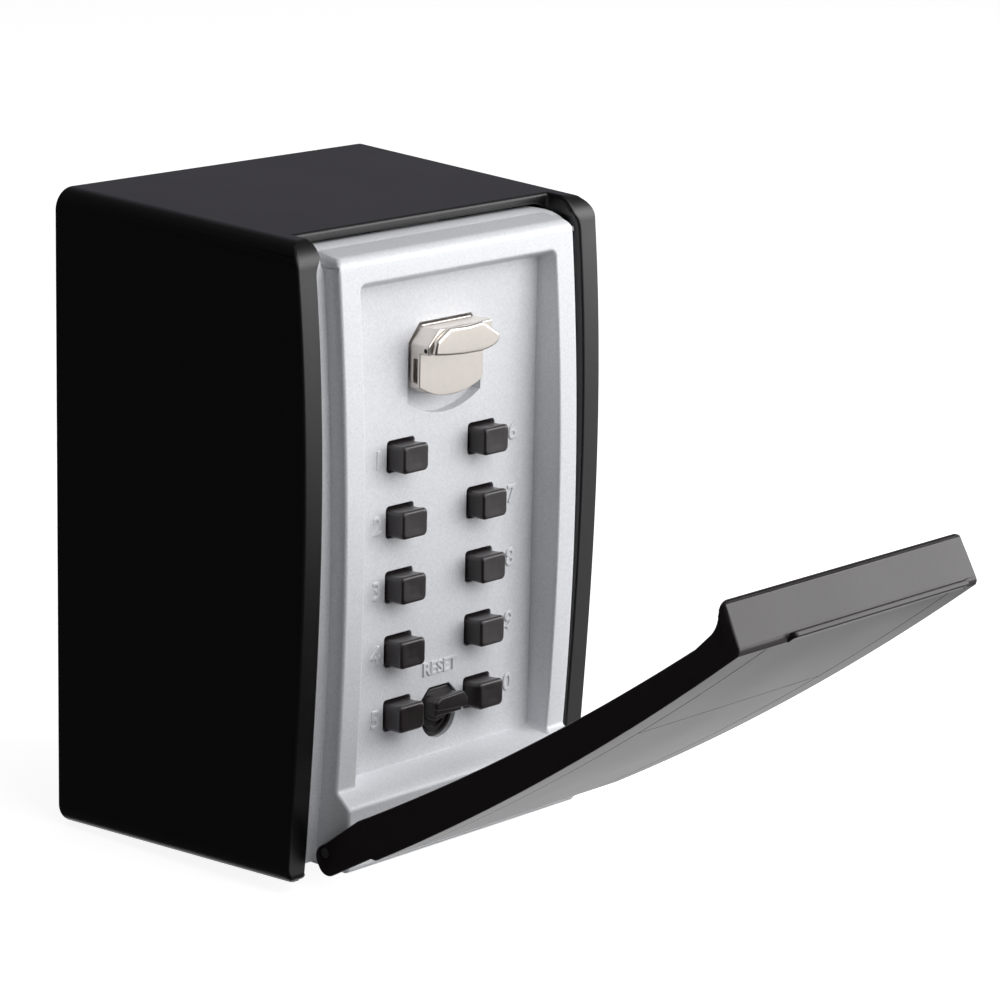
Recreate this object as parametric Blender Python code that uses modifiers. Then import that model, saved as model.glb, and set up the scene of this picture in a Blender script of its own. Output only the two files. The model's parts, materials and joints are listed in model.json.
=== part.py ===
"""A wall-mounted push-button key lock box with its weather cover open.

Sizes are in millimetres, with heights measured up from the box's bottom edge. FRAME turns
them into metres with the origin on the wall face, halfway up: +X right, -Y away from the wall.
"""

import math

import bmesh
import bpy
from mathutils import Matrix

MM = 0.001

# Housing
HEIGHT = 155.0
BACK_HALF_WIDTH = 52.45
FRONT_HALF_WIDTH = 49.85
HOUSING_DEPTH = 81.0
TOP_DRAFT = 3.15
BOTTOM_DRAFT = 2.5
EDGE_RADIUS = 5.2
CHEEK_CORNER = 147.0
CHEEK_CORNER_RADIUS = 4.4
BACK_THICKNESS = 6.0
POCKET_HALF_WIDTH = 43.75
POCKET_BOTTOM = 7.0
POCKET_TOP = 149.9
POCKET_RADIUS = 6.0
HOOD_FRONT = -68.7
NOTCH_HALF_WIDTH = 42.05
SILL_FRONT = -62.0
WALL_HOLE_X = 28.0
WALL_HOLE_Z = (29.5, 125.5)
WALL_HOLE_RADIUS = 2.6

# Door
DOOR_AXIS = (-69.0, 8.0)
FLANGE_HALF_WIDTH = 43.3
FLANGE_BOTTOM = 6.3
FLANGE_REAR = -71.0
REBATE_DEPTH = 4.8
ROLL_RADIUS = 6.75
DOOR_TOP = 149.2
PLATEAU_HALF_WIDTH = 39.2
PLATEAU_TOP = 147.6
FOOT_FRONT = -85.1
FOOT_BOTTOM = 5.2
RECESS_MOUTH = (32.75, 22.9, 141.8)
RECESS_FLOOR = (32.14, 24.0, 139.2)
MOUTH_FACE = -81.5
RECESS_REACH = -92.0
FLOOR_FRONT = -75.2
FLOOR_REAR = -72.4
CASE_HALF_WIDTH = 38.0
CASE_HEIGHTS = (15.5, 143.5)
CASE_REAR = -56.0
CASE_WALL = 2.5
BARREL_RADIUS = 3.4
BARREL_HALF_LENGTH = 36.0
HINGE_PIN_RADIUS = 1.6
HINGE_HOLE_RADIUS = 1.9
PLATE_FACES = (-55.7, -53.9)
BACK_SCREWS = [(x, z) for x in (-33.0, 33.0) for z in (22.0, 137.0)]
BACK_BOSS_RADIUS = 3.4
PLATE_WINDOW = (9.0, 114.0, 128.0)
CARRIER_SCREWS = [(x, 68.1) for x in (-28.0, 28.0)]
CARRIER_FACES = (-62.9, -61.5)

# Buttons, five rows in two columns
BUTTON_X = 13.58
BUTTON_LOWEST = 36.5
BUTTON_PITCH = 15.5
BUTTON_SIZE = (8.3, 6.6)
BUTTON_FACE = -80.35
BUTTON_HOLE = (9.1, 7.6)
BUTTON_FLANGE = (10.4, 8.8)
BUTTON_FLANGE_FACES = (-72.1, -70.9)
STEM_RADIUS = 1.5
STEM_END = -65.0
DIGITS = ("5", "4", "3", "2", "1"), ("0", "9", "8", "7", "6")

# Opening lever and its latch, sliding down 4.5
LEVER_TRAVEL = 4.5
LEVER_POCKET = (-11.5, 12.9, 106.5, 128.7)
LEVER_POCKET_FLOOR = -72.5
LATCH_FACES = (-69.7, -68.2)

# Reset lever, sliding down 3.5
RESET_X = 0.7
RESET_POCKET_HALF_WIDTH = 5.9
RESET_POCKET = (27.5, 40.3)
RESET_POCKET_FLOOR = -72.7

# Weather cover, drawn shut and then swung open about its pins
COVER_AXIS = (-79.8, 9.9)
COVER_OPEN = math.radians(57.7)
COVER_HALF_WIDTH = 41.7
COVER_WALL = 1.8
COVER_SKIN = 1.6
COVER_STEP = 24.6
COVER_LEDGE = ((-25.0, 148.0), (36.5, 151.7))
LEDGE_FACES = (-82.3, -80.9)
COVER_PIN_RADIUS = 1.3
COVER_HOLE_RADIUS = 1.6

FRAME = Matrix.Translation((0, 0, -HEIGHT / 2 * MM)) @ Matrix.Scale(MM, 4)
# Each outline's flat plane stood up in the box: its own x, y and thickness along these axes
ALONG_X = Matrix(((0, 0, 1, 0), (1, 0, 0, 0), (0, 1, 0, 0), (0, 0, 0, 1)))
ALONG_Y = Matrix(((1, 0, 0, 0), (0, 0, -1, 0), (0, 1, 0, 0), (0, 0, 0, 1)))


def clear_scene():
    for obj in list(bpy.data.objects):
        bpy.data.objects.remove(obj, do_unlink=True)


def new_collection(name):
    collection = bpy.data.collections.new(name)
    bpy.context.scene.collection.children.link(collection)
    return collection


def material(name, colour, metallic, roughness):
    made = bpy.data.materials.new(name)
    made.use_nodes = True
    shader = made.node_tree.nodes["Principled BSDF"]
    shader.inputs["Base Color"].default_value = (*colour, 1.0)
    shader.inputs["Metallic"].default_value = metallic
    shader.inputs["Roughness"].default_value = roughness
    return made


def add_object(name, mesh, finish):
    """Puts a mesh drawn in millimetres into the model as a part."""
    mesh.transform(FRAME)
    return link_object(name, mesh, finish)


def link_object(name, mesh, finish):
    if finish and not mesh.materials:
        mesh.materials.append(finish)
    obj = bpy.data.objects.new(name, mesh)
    if finish:
        mesh.shade_smooth()
        mesh.set_sharp_from_angle(angle=math.radians(35))
        parts.objects.link(obj)
    else:
        cutters.objects.link(obj)
        obj.hide_render = True
        obj.display_type = "WIRE"
    return obj


def mesh_of(bm, name):
    mesh = bpy.data.meshes.new(name)
    bmesh.ops.recalc_face_normals(bm, faces=bm.faces)
    bm.to_mesh(mesh)
    bm.free()
    return mesh


def box(name, low, high, finish=None, radius=0.0, along=1, segments=4):
    """A block between two corners, with the four edges that run along one axis rounded."""
    bm = bmesh.new()
    size = [high[i] - low[i] for i in range(3)]
    middle = [(high[i] + low[i]) / 2 for i in range(3)]
    place = Matrix.Translation(middle) @ Matrix.Diagonal((*size, 1.0))
    bmesh.ops.create_cube(bm, size=1.0, matrix=place)
    if radius:
        edges = [e for e in bm.edges if abs(e.verts[0].co[along] - e.verts[1].co[along]) > 1e-6]
        bmesh.ops.bevel(bm, geom=edges, offset=radius, segments=segments, profile=0.5, affect="EDGES")
    return add_object(name, mesh_of(bm, name), finish)


def rod(name, axis, centre, radius, length, finish=None, sides=20):
    """A cylinder along X, Y or Z, centred at a point."""
    turn = {"X": Matrix.Rotation(math.pi / 2, 4, "Y"), "Y": Matrix.Rotation(math.pi / 2, 4, "X")}
    place = Matrix.Translation(centre) @ turn.get(axis, Matrix.Identity(4))
    bm = bmesh.new()
    bmesh.ops.create_cone(
        bm, cap_ends=True, segments=sides, radius1=radius, radius2=radius, depth=length, matrix=place
    )
    return add_object(name, mesh_of(bm, name), finish)


def prism(name, outline, stand, low, high, finish=None):
    """A flat outline given thickness from low to high along the axis that stand names."""
    curve = bpy.data.curves.new(name, "CURVE")
    curve.dimensions = "2D"
    curve.fill_mode = "BOTH"
    curve.extrude = (high - low) / 2
    spline = curve.splines.new("POLY")
    spline.points.add(len(outline) - 1)
    for point, (across, up) in zip(spline.points, outline):
        point.co = (across, up, 0.0, 1.0)
    spline.use_cyclic_u = True
    mesh = evaluated_mesh(bpy.data.objects.new(name, curve))
    middle = (low + high) / 2
    shift = (middle, 0, 0) if stand is ALONG_X else (0, middle, 0)
    mesh.transform(Matrix.Translation(shift) @ stand)
    return add_object(name, mesh, finish)


def evaluated_mesh(obj):
    """The mesh that an object shows, with its loose caps welded. The object is removed."""
    if not obj.users_collection:
        bpy.context.scene.collection.objects.link(obj)
    shown = obj.evaluated_get(bpy.context.evaluated_depsgraph_get())
    mesh = bpy.data.meshes.new_from_object(shown)
    bm = bmesh.new()
    bm.from_mesh(mesh)
    bmesh.ops.remove_doubles(bm, verts=bm.verts, dist=1e-6)
    bmesh.ops.recalc_face_normals(bm, faces=bm.faces)
    bm.to_mesh(mesh)
    bm.free()
    bpy.data.objects.remove(obj, do_unlink=True)
    return mesh


def turned(name, profile, finish=None, steps=20):
    """A profile of (radius, height) from top to bottom, turned about the vertical, in millimetres."""
    bm = bmesh.new()
    points = [bm.verts.new((radius, 0.0, height)) for radius, height in profile]
    for first, second in zip(points, points[1:]):
        bm.edges.new((first, second))
    mesh = bpy.data.meshes.new(name)
    bm.to_mesh(mesh)
    bm.free()
    obj = bpy.data.objects.new(name, mesh)
    screw = obj.modifiers.new("Turn", "SCREW")
    screw.steps = steps
    screw.render_steps = steps
    screw.use_merge_vertices = True
    screw.merge_threshold = 0.0001
    return evaluated_mesh(obj)


def combine(target, other, operation):
    modifier = target.modifiers.new(other.name, "BOOLEAN")
    modifier.operation = operation
    modifier.solver = "EXACT"
    modifier.object = other


def cut(target, *others):
    for other in others:
        combine(target, other, "DIFFERENCE")


def join(target, *others):
    for other in others:
        combine(target, other, "UNION")


def set_origin(obj, x, y, z):
    """Moves an object's own origin to a point on its joint's axis, leaving its shape in place."""
    point = FRAME @ Matrix.Translation((x, y, z)).translation
    obj.data.transform(Matrix.Translation(-point))
    obj.location = point


def arc(centre, radius, start, end, steps):
    """Points along an arc, with angles in degrees."""
    angles = [math.radians(start + (end - start) * i / steps) for i in range(steps + 1)]
    return [(centre[0] + radius * math.cos(a), centre[1] + radius * math.sin(a)) for a in angles]


def rounded_outline(low, high, top_radius, bottom_radius, steps=5):
    (x0, z0), (x1, z1) = low, high
    corners = (
        ((x1 - bottom_radius, z0 + bottom_radius), bottom_radius, -90, 0),
        ((x1 - top_radius, z1 - top_radius), top_radius, 0, 90),
        ((x0 + top_radius, z1 - top_radius), top_radius, 90, 180),
        ((x0 + bottom_radius, z0 + bottom_radius), bottom_radius, 180, 270),
    )
    points = []
    for centre, radius, start, end in corners:
        points += arc(centre, radius, start, end, steps)
    return points


def heights(low, high, count):
    return [low + (high - low) * i / count for i in range(count + 1)]


def cheek_front(z):
    """How far out the side walls reach at a height."""
    t = (z - 77.5) / 59.6
    return -(80.24 + 1.30 * t - 2.43 * t**2 - 0.56 * t**3)


def door_front(z):
    """How far out the door's raised face bows at a height."""
    t = (z - 77.5) / 59.6
    return -(83.08 + 0.13 * t - 2.54 * t**2)


def cover_face(z):
    """The shut cover's outer face at a height."""
    return -(87.5 - 6.6e-4 * (z - 60) ** 2)


def cover_rim(z):
    """The edge of the shut cover's side walls at a height."""
    return -(78.9 - 6.5e-4 * (z - 82) ** 2)


def make_housing():
    bm = bmesh.new()
    place = Matrix.Translation((0, -HOUSING_DEPTH / 2, HEIGHT / 2))
    place = place @ Matrix.Diagonal((2 * BACK_HALF_WIDTH, HOUSING_DEPTH, HEIGHT, 1))
    bmesh.ops.create_cube(bm, size=1.0, matrix=place)
    for vert in bm.verts:
        if vert.co.y < -1:
            vert.co.x *= FRONT_HALF_WIDTH / BACK_HALF_WIDTH
            vert.co.z += -TOP_DRAFT if vert.co.z > HEIGHT / 2 else BOTTOM_DRAFT
    long_edges = [e for e in bm.edges if abs(e.verts[0].co.y - e.verts[1].co.y) > 1]
    bmesh.ops.bevel(bm, geom=long_edges, offset=EDGE_RADIUS, segments=5, profile=0.5, affect="EDGES")
    back_edges = [e for e in bm.edges if all(v.co.y > -0.1 for v in e.verts)]
    bmesh.ops.bevel(bm, geom=back_edges, offset=0.8, segments=2, profile=0.5, affect="EDGES")
    housing = add_object("housing", mesh_of(bm, "housing"), finishes["housing_black"])

    top_corner = (cheek_front(CHEEK_CORNER) + CHEEK_CORNER_RADIUS, CHEEK_CORNER)
    side = [(5.0, -5.0), (-70.5, -5.0)]
    side += arc((cheek_front(4.5) + 3.0, 5.5), 3.0, 255, 180, 4)
    side += [(cheek_front(z), z) for z in heights(10.0, CHEEK_CORNER - 1.5, 12)]
    side += arc(top_corner, CHEEK_CORNER_RADIUS, 176, 92, 6)
    side += [(-60.0, HEIGHT + 5.0), (5.0, HEIGHT + 5.0)]
    profile = prism("housing_side_profile", side, ALONG_X, -60, 60)
    combine(housing, profile, "INTERSECT")

    opening = rounded_outline(
        (-POCKET_HALF_WIDTH, POCKET_BOTTOM), (POCKET_HALF_WIDTH, POCKET_TOP), POCKET_RADIUS, 3.0
    )
    cut(housing, prism("housing_pocket", opening, ALONG_Y, -95, -BACK_THICKNESS))
    notch = rounded_outline((-NOTCH_HALF_WIDTH, 137.0), (NOTCH_HALF_WIDTH, 165.0), 1.0, 1.0, 2)
    cut(housing, prism("housing_notch", notch, ALONG_Y, -95, HOOD_FRONT))
    low, high = (-POCKET_HALF_WIDTH, -95.0, -5.0), (POCKET_HALF_WIDTH, SILL_FRONT, 12.0)
    cut(housing, box("housing_sill", low, high))
    for side_sign in (-1, 1):
        centre = (side_sign * (POCKET_HALF_WIDTH + 1.0), *DOOR_AXIS)
        cut(housing, rod(f"housing_pin_hole_{side_sign}", "X", centre, HINGE_HOLE_RADIUS, 6.0))
        for z in WALL_HOLE_Z:
            centre = (side_sign * WALL_HOLE_X, -3.0, z)
            cut(housing, rod("housing_wall_hole", "Y", centre, WALL_HOLE_RADIUS, 12.0, sides=24))
    cut(housing, rod("housing_hook_hole", "Y", (0, -4.5, 125.5), 1.3, 7.0, sides=12))
    for x in (-5.0, 5.0):
        cut(housing, rod("housing_strike_hole", "Z", (x, -58.0, 149.9), 0.95, 3.4, sides=12))


def make_key_hook():
    steel = finishes["plated_steel"]
    shape = [(-6.3, 133.0), (-6.3, 111.0)]
    shape += arc((-17.0, 113.5), 2.5, 270, 180, 4)
    shape += [(-19.5, 119.0), (-17.9, 119.0)]
    shape += arc((-16.4, 114.1), 1.5, 180, 270, 3)
    shape += [(-7.9, 112.6), (-7.9, 133.0)]
    hook = prism("key_hook", shape, ALONG_X, -4, 4, steel)
    cut(hook, rod("key_hook_hole", "Y", (0, -7.0, 125.5), 1.3, 6.0, sides=12))
    add_screw("hook_screw", (0, -8.2, 125.5), 4.2, 1.0)


def screw_mesh(name, length, radius):
    """A domed screw along +Y with the underside of its head at the origin."""
    head, dome = 2.4 * radius, 1.4 * radius
    profile = [(0, dome), (head * 0.6, dome), (head, dome * 0.45), (head, 0), (radius, 0)]
    profile += [(radius, -length), (0, -length)]
    mesh = turned(name, profile, steps=16)
    mesh.transform(Matrix.Rotation(math.pi / 2, 4, "X"))
    return mesh


def add_screw(name, place, length, radius, turn=None):
    """A screw whose head faces -Y, or another way once turned."""
    mesh = screw_mesh(name, length, radius)
    mesh.transform(Matrix.Translation(place) @ (turn or Matrix.Identity(4)))
    return add_object(name, mesh, finishes["screw_steel"])


def make_strike():
    """The catch under the hood: a bent plate whose lip hangs in front of the latch."""
    shape = [(-64.4, 149.5), (-64.4, 145.7), (-62.9, 145.7), (-62.9, 148.0), (-54.0, 148.0), (-54.0, 149.5)]
    strike = prism("strike", shape, ALONG_X, -9, 9, finishes["plated_steel"])
    down = Matrix.Rotation(math.pi / 2, 4, "X")
    for number, x in enumerate((-5.0, 5.0), 1):
        cut(strike, rod(f"strike_hole_{number}", "Z", (x, -58.0, 148.5), 0.95, 4.0, sides=12))
        add_screw(f"strike_screw_{number}", (x, -58.0, 147.7), 3.0, 0.65, down)


def make_door_hinge_pin():
    pin = rod("door_hinge_pin", "X", (0, *DOOR_AXIS), HINGE_PIN_RADIUS, 93.0, finishes["plated_steel"])
    set_origin(pin, 0, *DOOR_AXIS)


def door_body():
    """The flange that the cover's rim meets, with the raised face and its foot."""
    roll = (door_front(DOOR_TOP - ROLL_RADIUS) + REBATE_DEPTH + ROLL_RADIUS, DOOR_TOP - ROLL_RADIUS)
    flange = [(FLANGE_REAR, 2.0)]
    flange += [(door_front(z) + REBATE_DEPTH, z) for z in heights(2.0, roll[1] - 1.0, 12)]
    flange += arc(roll, ROLL_RADIUS, 180, 90, 7)
    flange += [(-66.0, DOOR_TOP), (-66.0, DOOR_TOP - 3.0), (FLANGE_REAR, DOOR_TOP - 3.0)]
    door = prism("door_front", flange, ALONG_X, -46, 46, finishes["door_silver"])
    outline = rounded_outline(
        (-FLANGE_HALF_WIDTH, FLANGE_BOTTOM), (FLANGE_HALF_WIDTH, DOOR_TOP), POCKET_RADIUS, 1.0
    )
    combine(door, prism("door_outline", outline, ALONG_Y, -85, -60), "INTERSECT")

    face = [(-71.5, FOOT_BOTTOM), (FOOT_FRONT + 1.0, FOOT_BOTTOM), (FOOT_FRONT, FOOT_BOTTOM + 1.0)]
    face += [(FOOT_FRONT, 20.8), (-82.0, 23.3)]
    face += [(door_front(z), z) for z in heights(24.0, PLATEAU_TOP, 14)]
    face += [(-69.5, DOOR_TOP + 0.05), (-69.5, 146.4), (-71.5, 146.4)]
    plateau = prism("door_plateau", face, ALONG_X, -46, 46)
    outline = rounded_outline(
        (-PLATEAU_HALF_WIDTH, FOOT_BOTTOM - 2.0), (PLATEAU_HALF_WIDTH, DOOR_TOP + 0.3), 2.4, 0.3, 3
    )
    combine(plateau, prism("door_plateau_outline", outline, ALONG_Y, -90, -60), "INTERSECT")
    join(door, plateau)
    return door


def recess_cutter():
    """The pan around the buttons, a little wider at its mouth than at its floor."""
    width, low, high = RECESS_FLOOR
    mouth_width, mouth_low, mouth_high = RECESS_MOUTH
    bm = bmesh.new()
    place = Matrix.Translation((0, (RECESS_REACH + FLOOR_FRONT) / 2, (low + high) / 2))
    place = place @ Matrix.Diagonal((2 * width, FLOOR_FRONT - RECESS_REACH, high - low, 1))
    bmesh.ops.create_cube(bm, size=1.0, matrix=place)
    flare = (FLOOR_FRONT - RECESS_REACH) / (FLOOR_FRONT - MOUTH_FACE)
    for vert in bm.verts:
        if vert.co.y < MOUTH_FACE:
            vert.co.x *= 1 + flare * (mouth_width / width - 1)
            vert.co.z += flare * (mouth_high - high if vert.co.z > low + 1 else mouth_low - low)
    corners = [e for e in bm.edges if abs(e.verts[0].co.y - e.verts[1].co.y) > 1]
    bmesh.ops.bevel(bm, geom=corners, offset=1.6, segments=3, profile=0.5, affect="EDGES")
    return add_object("door_recess", mesh_of(bm, "door_recess"), None)


def make_door():
    door = door_body()
    case_low = (-CASE_HALF_WIDTH, FLOOR_REAR - 0.5, CASE_HEIGHTS[0])
    case_high = (CASE_HALF_WIDTH, CASE_REAR, CASE_HEIGHTS[1])
    join(door, box("door_case", case_low, case_high, radius=3.0))
    low = (-CASE_HALF_WIDTH + CASE_WALL, FLOOR_REAR, CASE_HEIGHTS[0] + CASE_WALL)
    high = (CASE_HALF_WIDTH - CASE_WALL, CASE_REAR + 5.0, CASE_HEIGHTS[1] - CASE_WALL)
    cut(door, box("door_case_inside", low, high, radius=1.5))
    join(door, rod("door_barrel", "X", (0, *DOOR_AXIS), BARREL_RADIUS, 2 * BARREL_HALF_LENGTH))
    cut(door, rod("door_barrel_hole", "X", (0, *DOOR_AXIS), HINGE_HOLE_RADIUS, 120.0))
    cut(door, recess_cutter())

    for number, (x, z) in enumerate(BACK_SCREWS):
        length = CASE_REAR - FLOOR_REAR + 0.5
        centre = (x, (CASE_REAR + FLOOR_REAR - 0.5) / 2, z)
        join(door, rod(f"door_boss_{number}", "Y", centre, BACK_BOSS_RADIUS, length, sides=16))
        cut(door, rod(f"door_boss_hole_{number}", "Y", (x, -58.0, z), 1.3, 12.0, sides=12))
    for number, (x, z) in enumerate(CARRIER_SCREWS):
        length = CARRIER_FACES[0] - 0.3 - FLOOR_REAR + 0.5
        centre = (x, CARRIER_FACES[0] - 0.3 - length / 2, z)
        join(door, rod(f"door_post_{number}", "Y", centre, 2.8, length, sides=16))
        cut(door, rod(f"door_post_hole_{number}", "Y", (x, -64.0, z), 1.1, 10.0, sides=12))
    join(door, box("door_spring_ledge", (-4, FLOOR_REAR - 0.5, 58.5), (4, -66.5, 61.2)))

    for column, x in enumerate((-BUTTON_X, BUTTON_X)):
        for row in range(5):
            z = BUTTON_LOWEST + BUTTON_PITCH * row
            low = (x - BUTTON_HOLE[0] / 2, -78.0, z - BUTTON_HOLE[1] / 2)
            high = (x + BUTTON_HOLE[0] / 2, -70.0, z + BUTTON_HOLE[1] / 2)
            cut(door, box(f"door_button_hole_{column}{row}", low, high, radius=0.9, segments=2))
    cut_lever_pocket(door)
    cut_reset_pocket(door)
    for x in (-PLATEAU_HALF_WIDTH, PLATEAU_HALF_WIDTH):
        cut(door, rod("door_cover_pin_hole", "X", (x, *COVER_AXIS), COVER_HOLE_RADIUS, 8.0))
    slot_low, slot_high = (-8.0, -63.2, 138.0), (8.0, -60.2, 146.0)
    cut(door, box("door_latch_slot", slot_low, slot_high))
    set_origin(door, 0, *DOOR_AXIS)


def lever_pocket_outline(gap):
    """The opening lever's bed: chamfered above, with a shallow arc below, drawn in by a gap."""
    left, right, low, high = LEVER_POCKET
    left, right, low, high = left + gap, right - gap, low + gap, high - gap
    middle, radius = (left + right) / 2, 22.0
    spread = math.degrees(math.asin((right - left) / 2 / radius))
    bottom = arc((middle, low + radius), radius, 270 - spread, 270 + spread, 8)
    return bottom + [(right, high - 4.3), (right - 3.6, high), (left + 3.6, high), (left, high - 4.3)]


def reset_pocket_outline(gap, bottom):
    radius = RESET_POCKET_HALF_WIDTH - gap
    left, right = RESET_X - radius, RESET_X + radius
    top = RESET_POCKET[1] - gap
    points = arc((RESET_X, bottom + gap + radius), radius, 180, 360, 10)
    return points + [(right, top - 2.5), (right - 2.5, top), (left + 2.5, top), (left, top - 2.5)]


def cut_lever_pocket(door):
    join(door, box("door_lever_pad", (-13.5, FLOOR_REAR - 0.5, 104.0), (15.0, -70.0, 131.0)))
    cut(door, prism("door_lever_pocket", lever_pocket_outline(0), ALONG_Y, -80, LEVER_POCKET_FLOOR))
    cut(door, box("door_lever_slot", (-3.2, -80.0, 112.6), (3.2, -65.0, 124.8)))


def cut_reset_pocket(door):
    join(door, box("door_reset_pad", (-7.2, FLOOR_REAR - 0.5, 25.5), (7.8, -70.7, 41.7)))
    outline = reset_pocket_outline(0, RESET_POCKET[0])
    cut(door, prism("door_reset_pocket", outline, ALONG_Y, -80, RESET_POCKET_FLOOR))
    cut(door, box("door_reset_slot", (RESET_X - 1.9, -80.0, 32.1), (RESET_X + 1.9, -65.0, 38.8)))


def make_back_plate():
    low = (-CASE_HALF_WIDTH, PLATE_FACES[0], CASE_HEIGHTS[0])
    high = (CASE_HALF_WIDTH, PLATE_FACES[1], CASE_HEIGHTS[1])
    plate = box("door_back_plate", low, high, finishes["plated_steel"], radius=3.0)
    for number, (x, z) in enumerate(BACK_SCREWS, 1):
        cut(plate, rod(f"plate_screw_hole_{number}", "Y", (x, -55.0, z), 1.3, 6.0, sides=12))
        turn = Matrix.Rotation(math.pi, 4, "Z")
        add_screw(f"back_screw_{number}", (x, PLATE_FACES[1] + 0.3, z), 8.0, 1.0, turn)
    for digit, x, z in button_places():
        cut(plate, rod(f"plate_cam_hole_{digit}", "Y", (x, -55.0, z), 3.4, 6.0, sides=16))
    half_width, bottom, top = PLATE_WINDOW
    low, high = (-half_width, PLATE_FACES[0] - 2.0, bottom), (half_width, PLATE_FACES[1] + 2.0, top)
    cut(plate, box("plate_window", low, high, radius=2.0, segments=3))


def make_carrier_plate():
    low, high = (-31.5, CARRIER_FACES[0], 30.0), (31.5, CARRIER_FACES[1], 106.0)
    plate = box("spring_carrier", low, high, finishes["plated_steel"], radius=2.0)
    turn = Matrix.Rotation(math.pi, 4, "Z")
    for number, (x, z) in enumerate(CARRIER_SCREWS, 1):
        cut(plate, rod(f"carrier_screw_hole_{number}", "Y", (x, -62.0, z), 1.1, 6.0, sides=12))
        add_screw(f"carrier_screw_{number}", (x, CARRIER_FACES[1] + 0.3, z), 5.5, 0.8, turn)
    for digit, x, z in button_places():
        cut(plate, rod(f"carrier_stem_hole_{digit}", "Y", (x, -62.0, z), 1.9, 6.0, sides=12))


def button_places():
    for column, x in enumerate((-BUTTON_X, BUTTON_X)):
        for row, digit in enumerate(DIGITS[column]):
            yield digit, x, BUTTON_LOWEST + BUTTON_PITCH * row


def make_buttons():
    """Ten caps on stems, each held behind the door's floor by a flange."""
    half_width, half_height = (size / 2 for size in BUTTON_SIZE)
    cap_end = BUTTON_FLANGE_FACES[0] + 0.5
    cap_low, cap_high = (-half_width, BUTTON_FACE, -half_height), (half_width, cap_end, half_height)
    button = box("button_pattern", cap_low, cap_high, finishes["button_black"], radius=0.8, segments=3)
    front = button.modifiers.new("Front edge", "BEVEL")
    front.width = 0.5 * MM
    front.segments = 2
    front.angle_limit = math.radians(60)
    half_width, half_height = (size / 2 for size in BUTTON_FLANGE)
    low = (-half_width, BUTTON_FLANGE_FACES[0], -half_height)
    high = (half_width, BUTTON_FLANGE_FACES[1], half_height)
    join(button, box("button_flange", low, high))
    length = STEM_END - BUTTON_FLANGE_FACES[1] + 0.5
    join(button, rod("button_stem", "Y", (0, STEM_END - length / 2, 0), STEM_RADIUS, length, sides=12))
    mesh = evaluated_mesh(button)
    mesh.transform(FRAME.inverted())
    for digit, x, z in button_places():
        copy = mesh.copy()
        copy.transform(Matrix.Translation((x, 0, z)))
        button = add_object(f"button_{digit}", copy, finishes["button_black"])
        set_origin(button, x, BUTTON_FACE, z)


def coil(name, radius, wire, length, turns, finish):
    """A compression spring up from the origin along +Z, made in millimetres."""
    curve = bpy.data.curves.new(name, "CURVE")
    curve.dimensions = "3D"
    curve.bevel_depth = wire
    curve.bevel_resolution = 0
    curve.use_fill_caps = True
    spline = curve.splines.new("POLY")
    count = 8 * turns
    spline.points.add(count)
    for i, point in enumerate(spline.points):
        angle = 2 * math.pi * turns * i / count
        rise = wire + (length - 2 * wire) * i / count
        point.co = (radius * math.cos(angle), radius * math.sin(angle), rise, 1.0)
    mesh = evaluated_mesh(bpy.data.objects.new(name, curve))
    mesh.materials.append(finish)
    return mesh


def make_button_springs():
    start, end = BUTTON_FLANGE_FACES[1] + 0.35, CARRIER_FACES[0] - 0.35
    mesh = coil("button_spring", 2.5, 0.25, end - start, 3, finishes["spring_steel"])
    mesh.transform(Matrix.Rotation(-math.pi / 2, 4, "X"))
    for digit, x, z in button_places():
        copy = mesh.copy()
        copy.transform(Matrix.Translation((x, start, z)))
        spring = add_object(f"button_spring_{digit}", copy, finishes["spring_steel"])
        set_origin(spring, x, end, z)


def make_code_cams():
    """Slotted discs in the back plate: turning one makes its button part of the code."""
    outer, inner = PLATE_FACES[1] + 0.1, PLATE_FACES[0] - 0.3
    profile = [(0, outer), (3.0, outer), (3.0, inner), (4.4, inner), (4.4, inner - 1.2)]
    profile += [(1.4, inner - 1.2), (1.4, inner - 4.5), (0, inner - 4.5)]
    mesh = turned("code_cam", profile, steps=14)
    mesh.transform(Matrix.Rotation(-math.pi / 2, 4, "X"))
    cam = add_object("code_cam", mesh, finishes["cam_brass"])
    cut(cam, box("code_cam_slot", (-2.3, outer - 0.8, -0.5), (2.3, outer + 1.0, 0.5)))
    mesh = evaluated_mesh(cam)
    mesh.transform(FRAME.inverted())
    for digit, x, z in button_places():
        copy = mesh.copy()
        copy.transform(Matrix.Translation((x, 0, z)))
        cam = add_object(f"code_cam_{digit}", copy, finishes["cam_brass"])
        set_origin(cam, x, outer, z)


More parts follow.
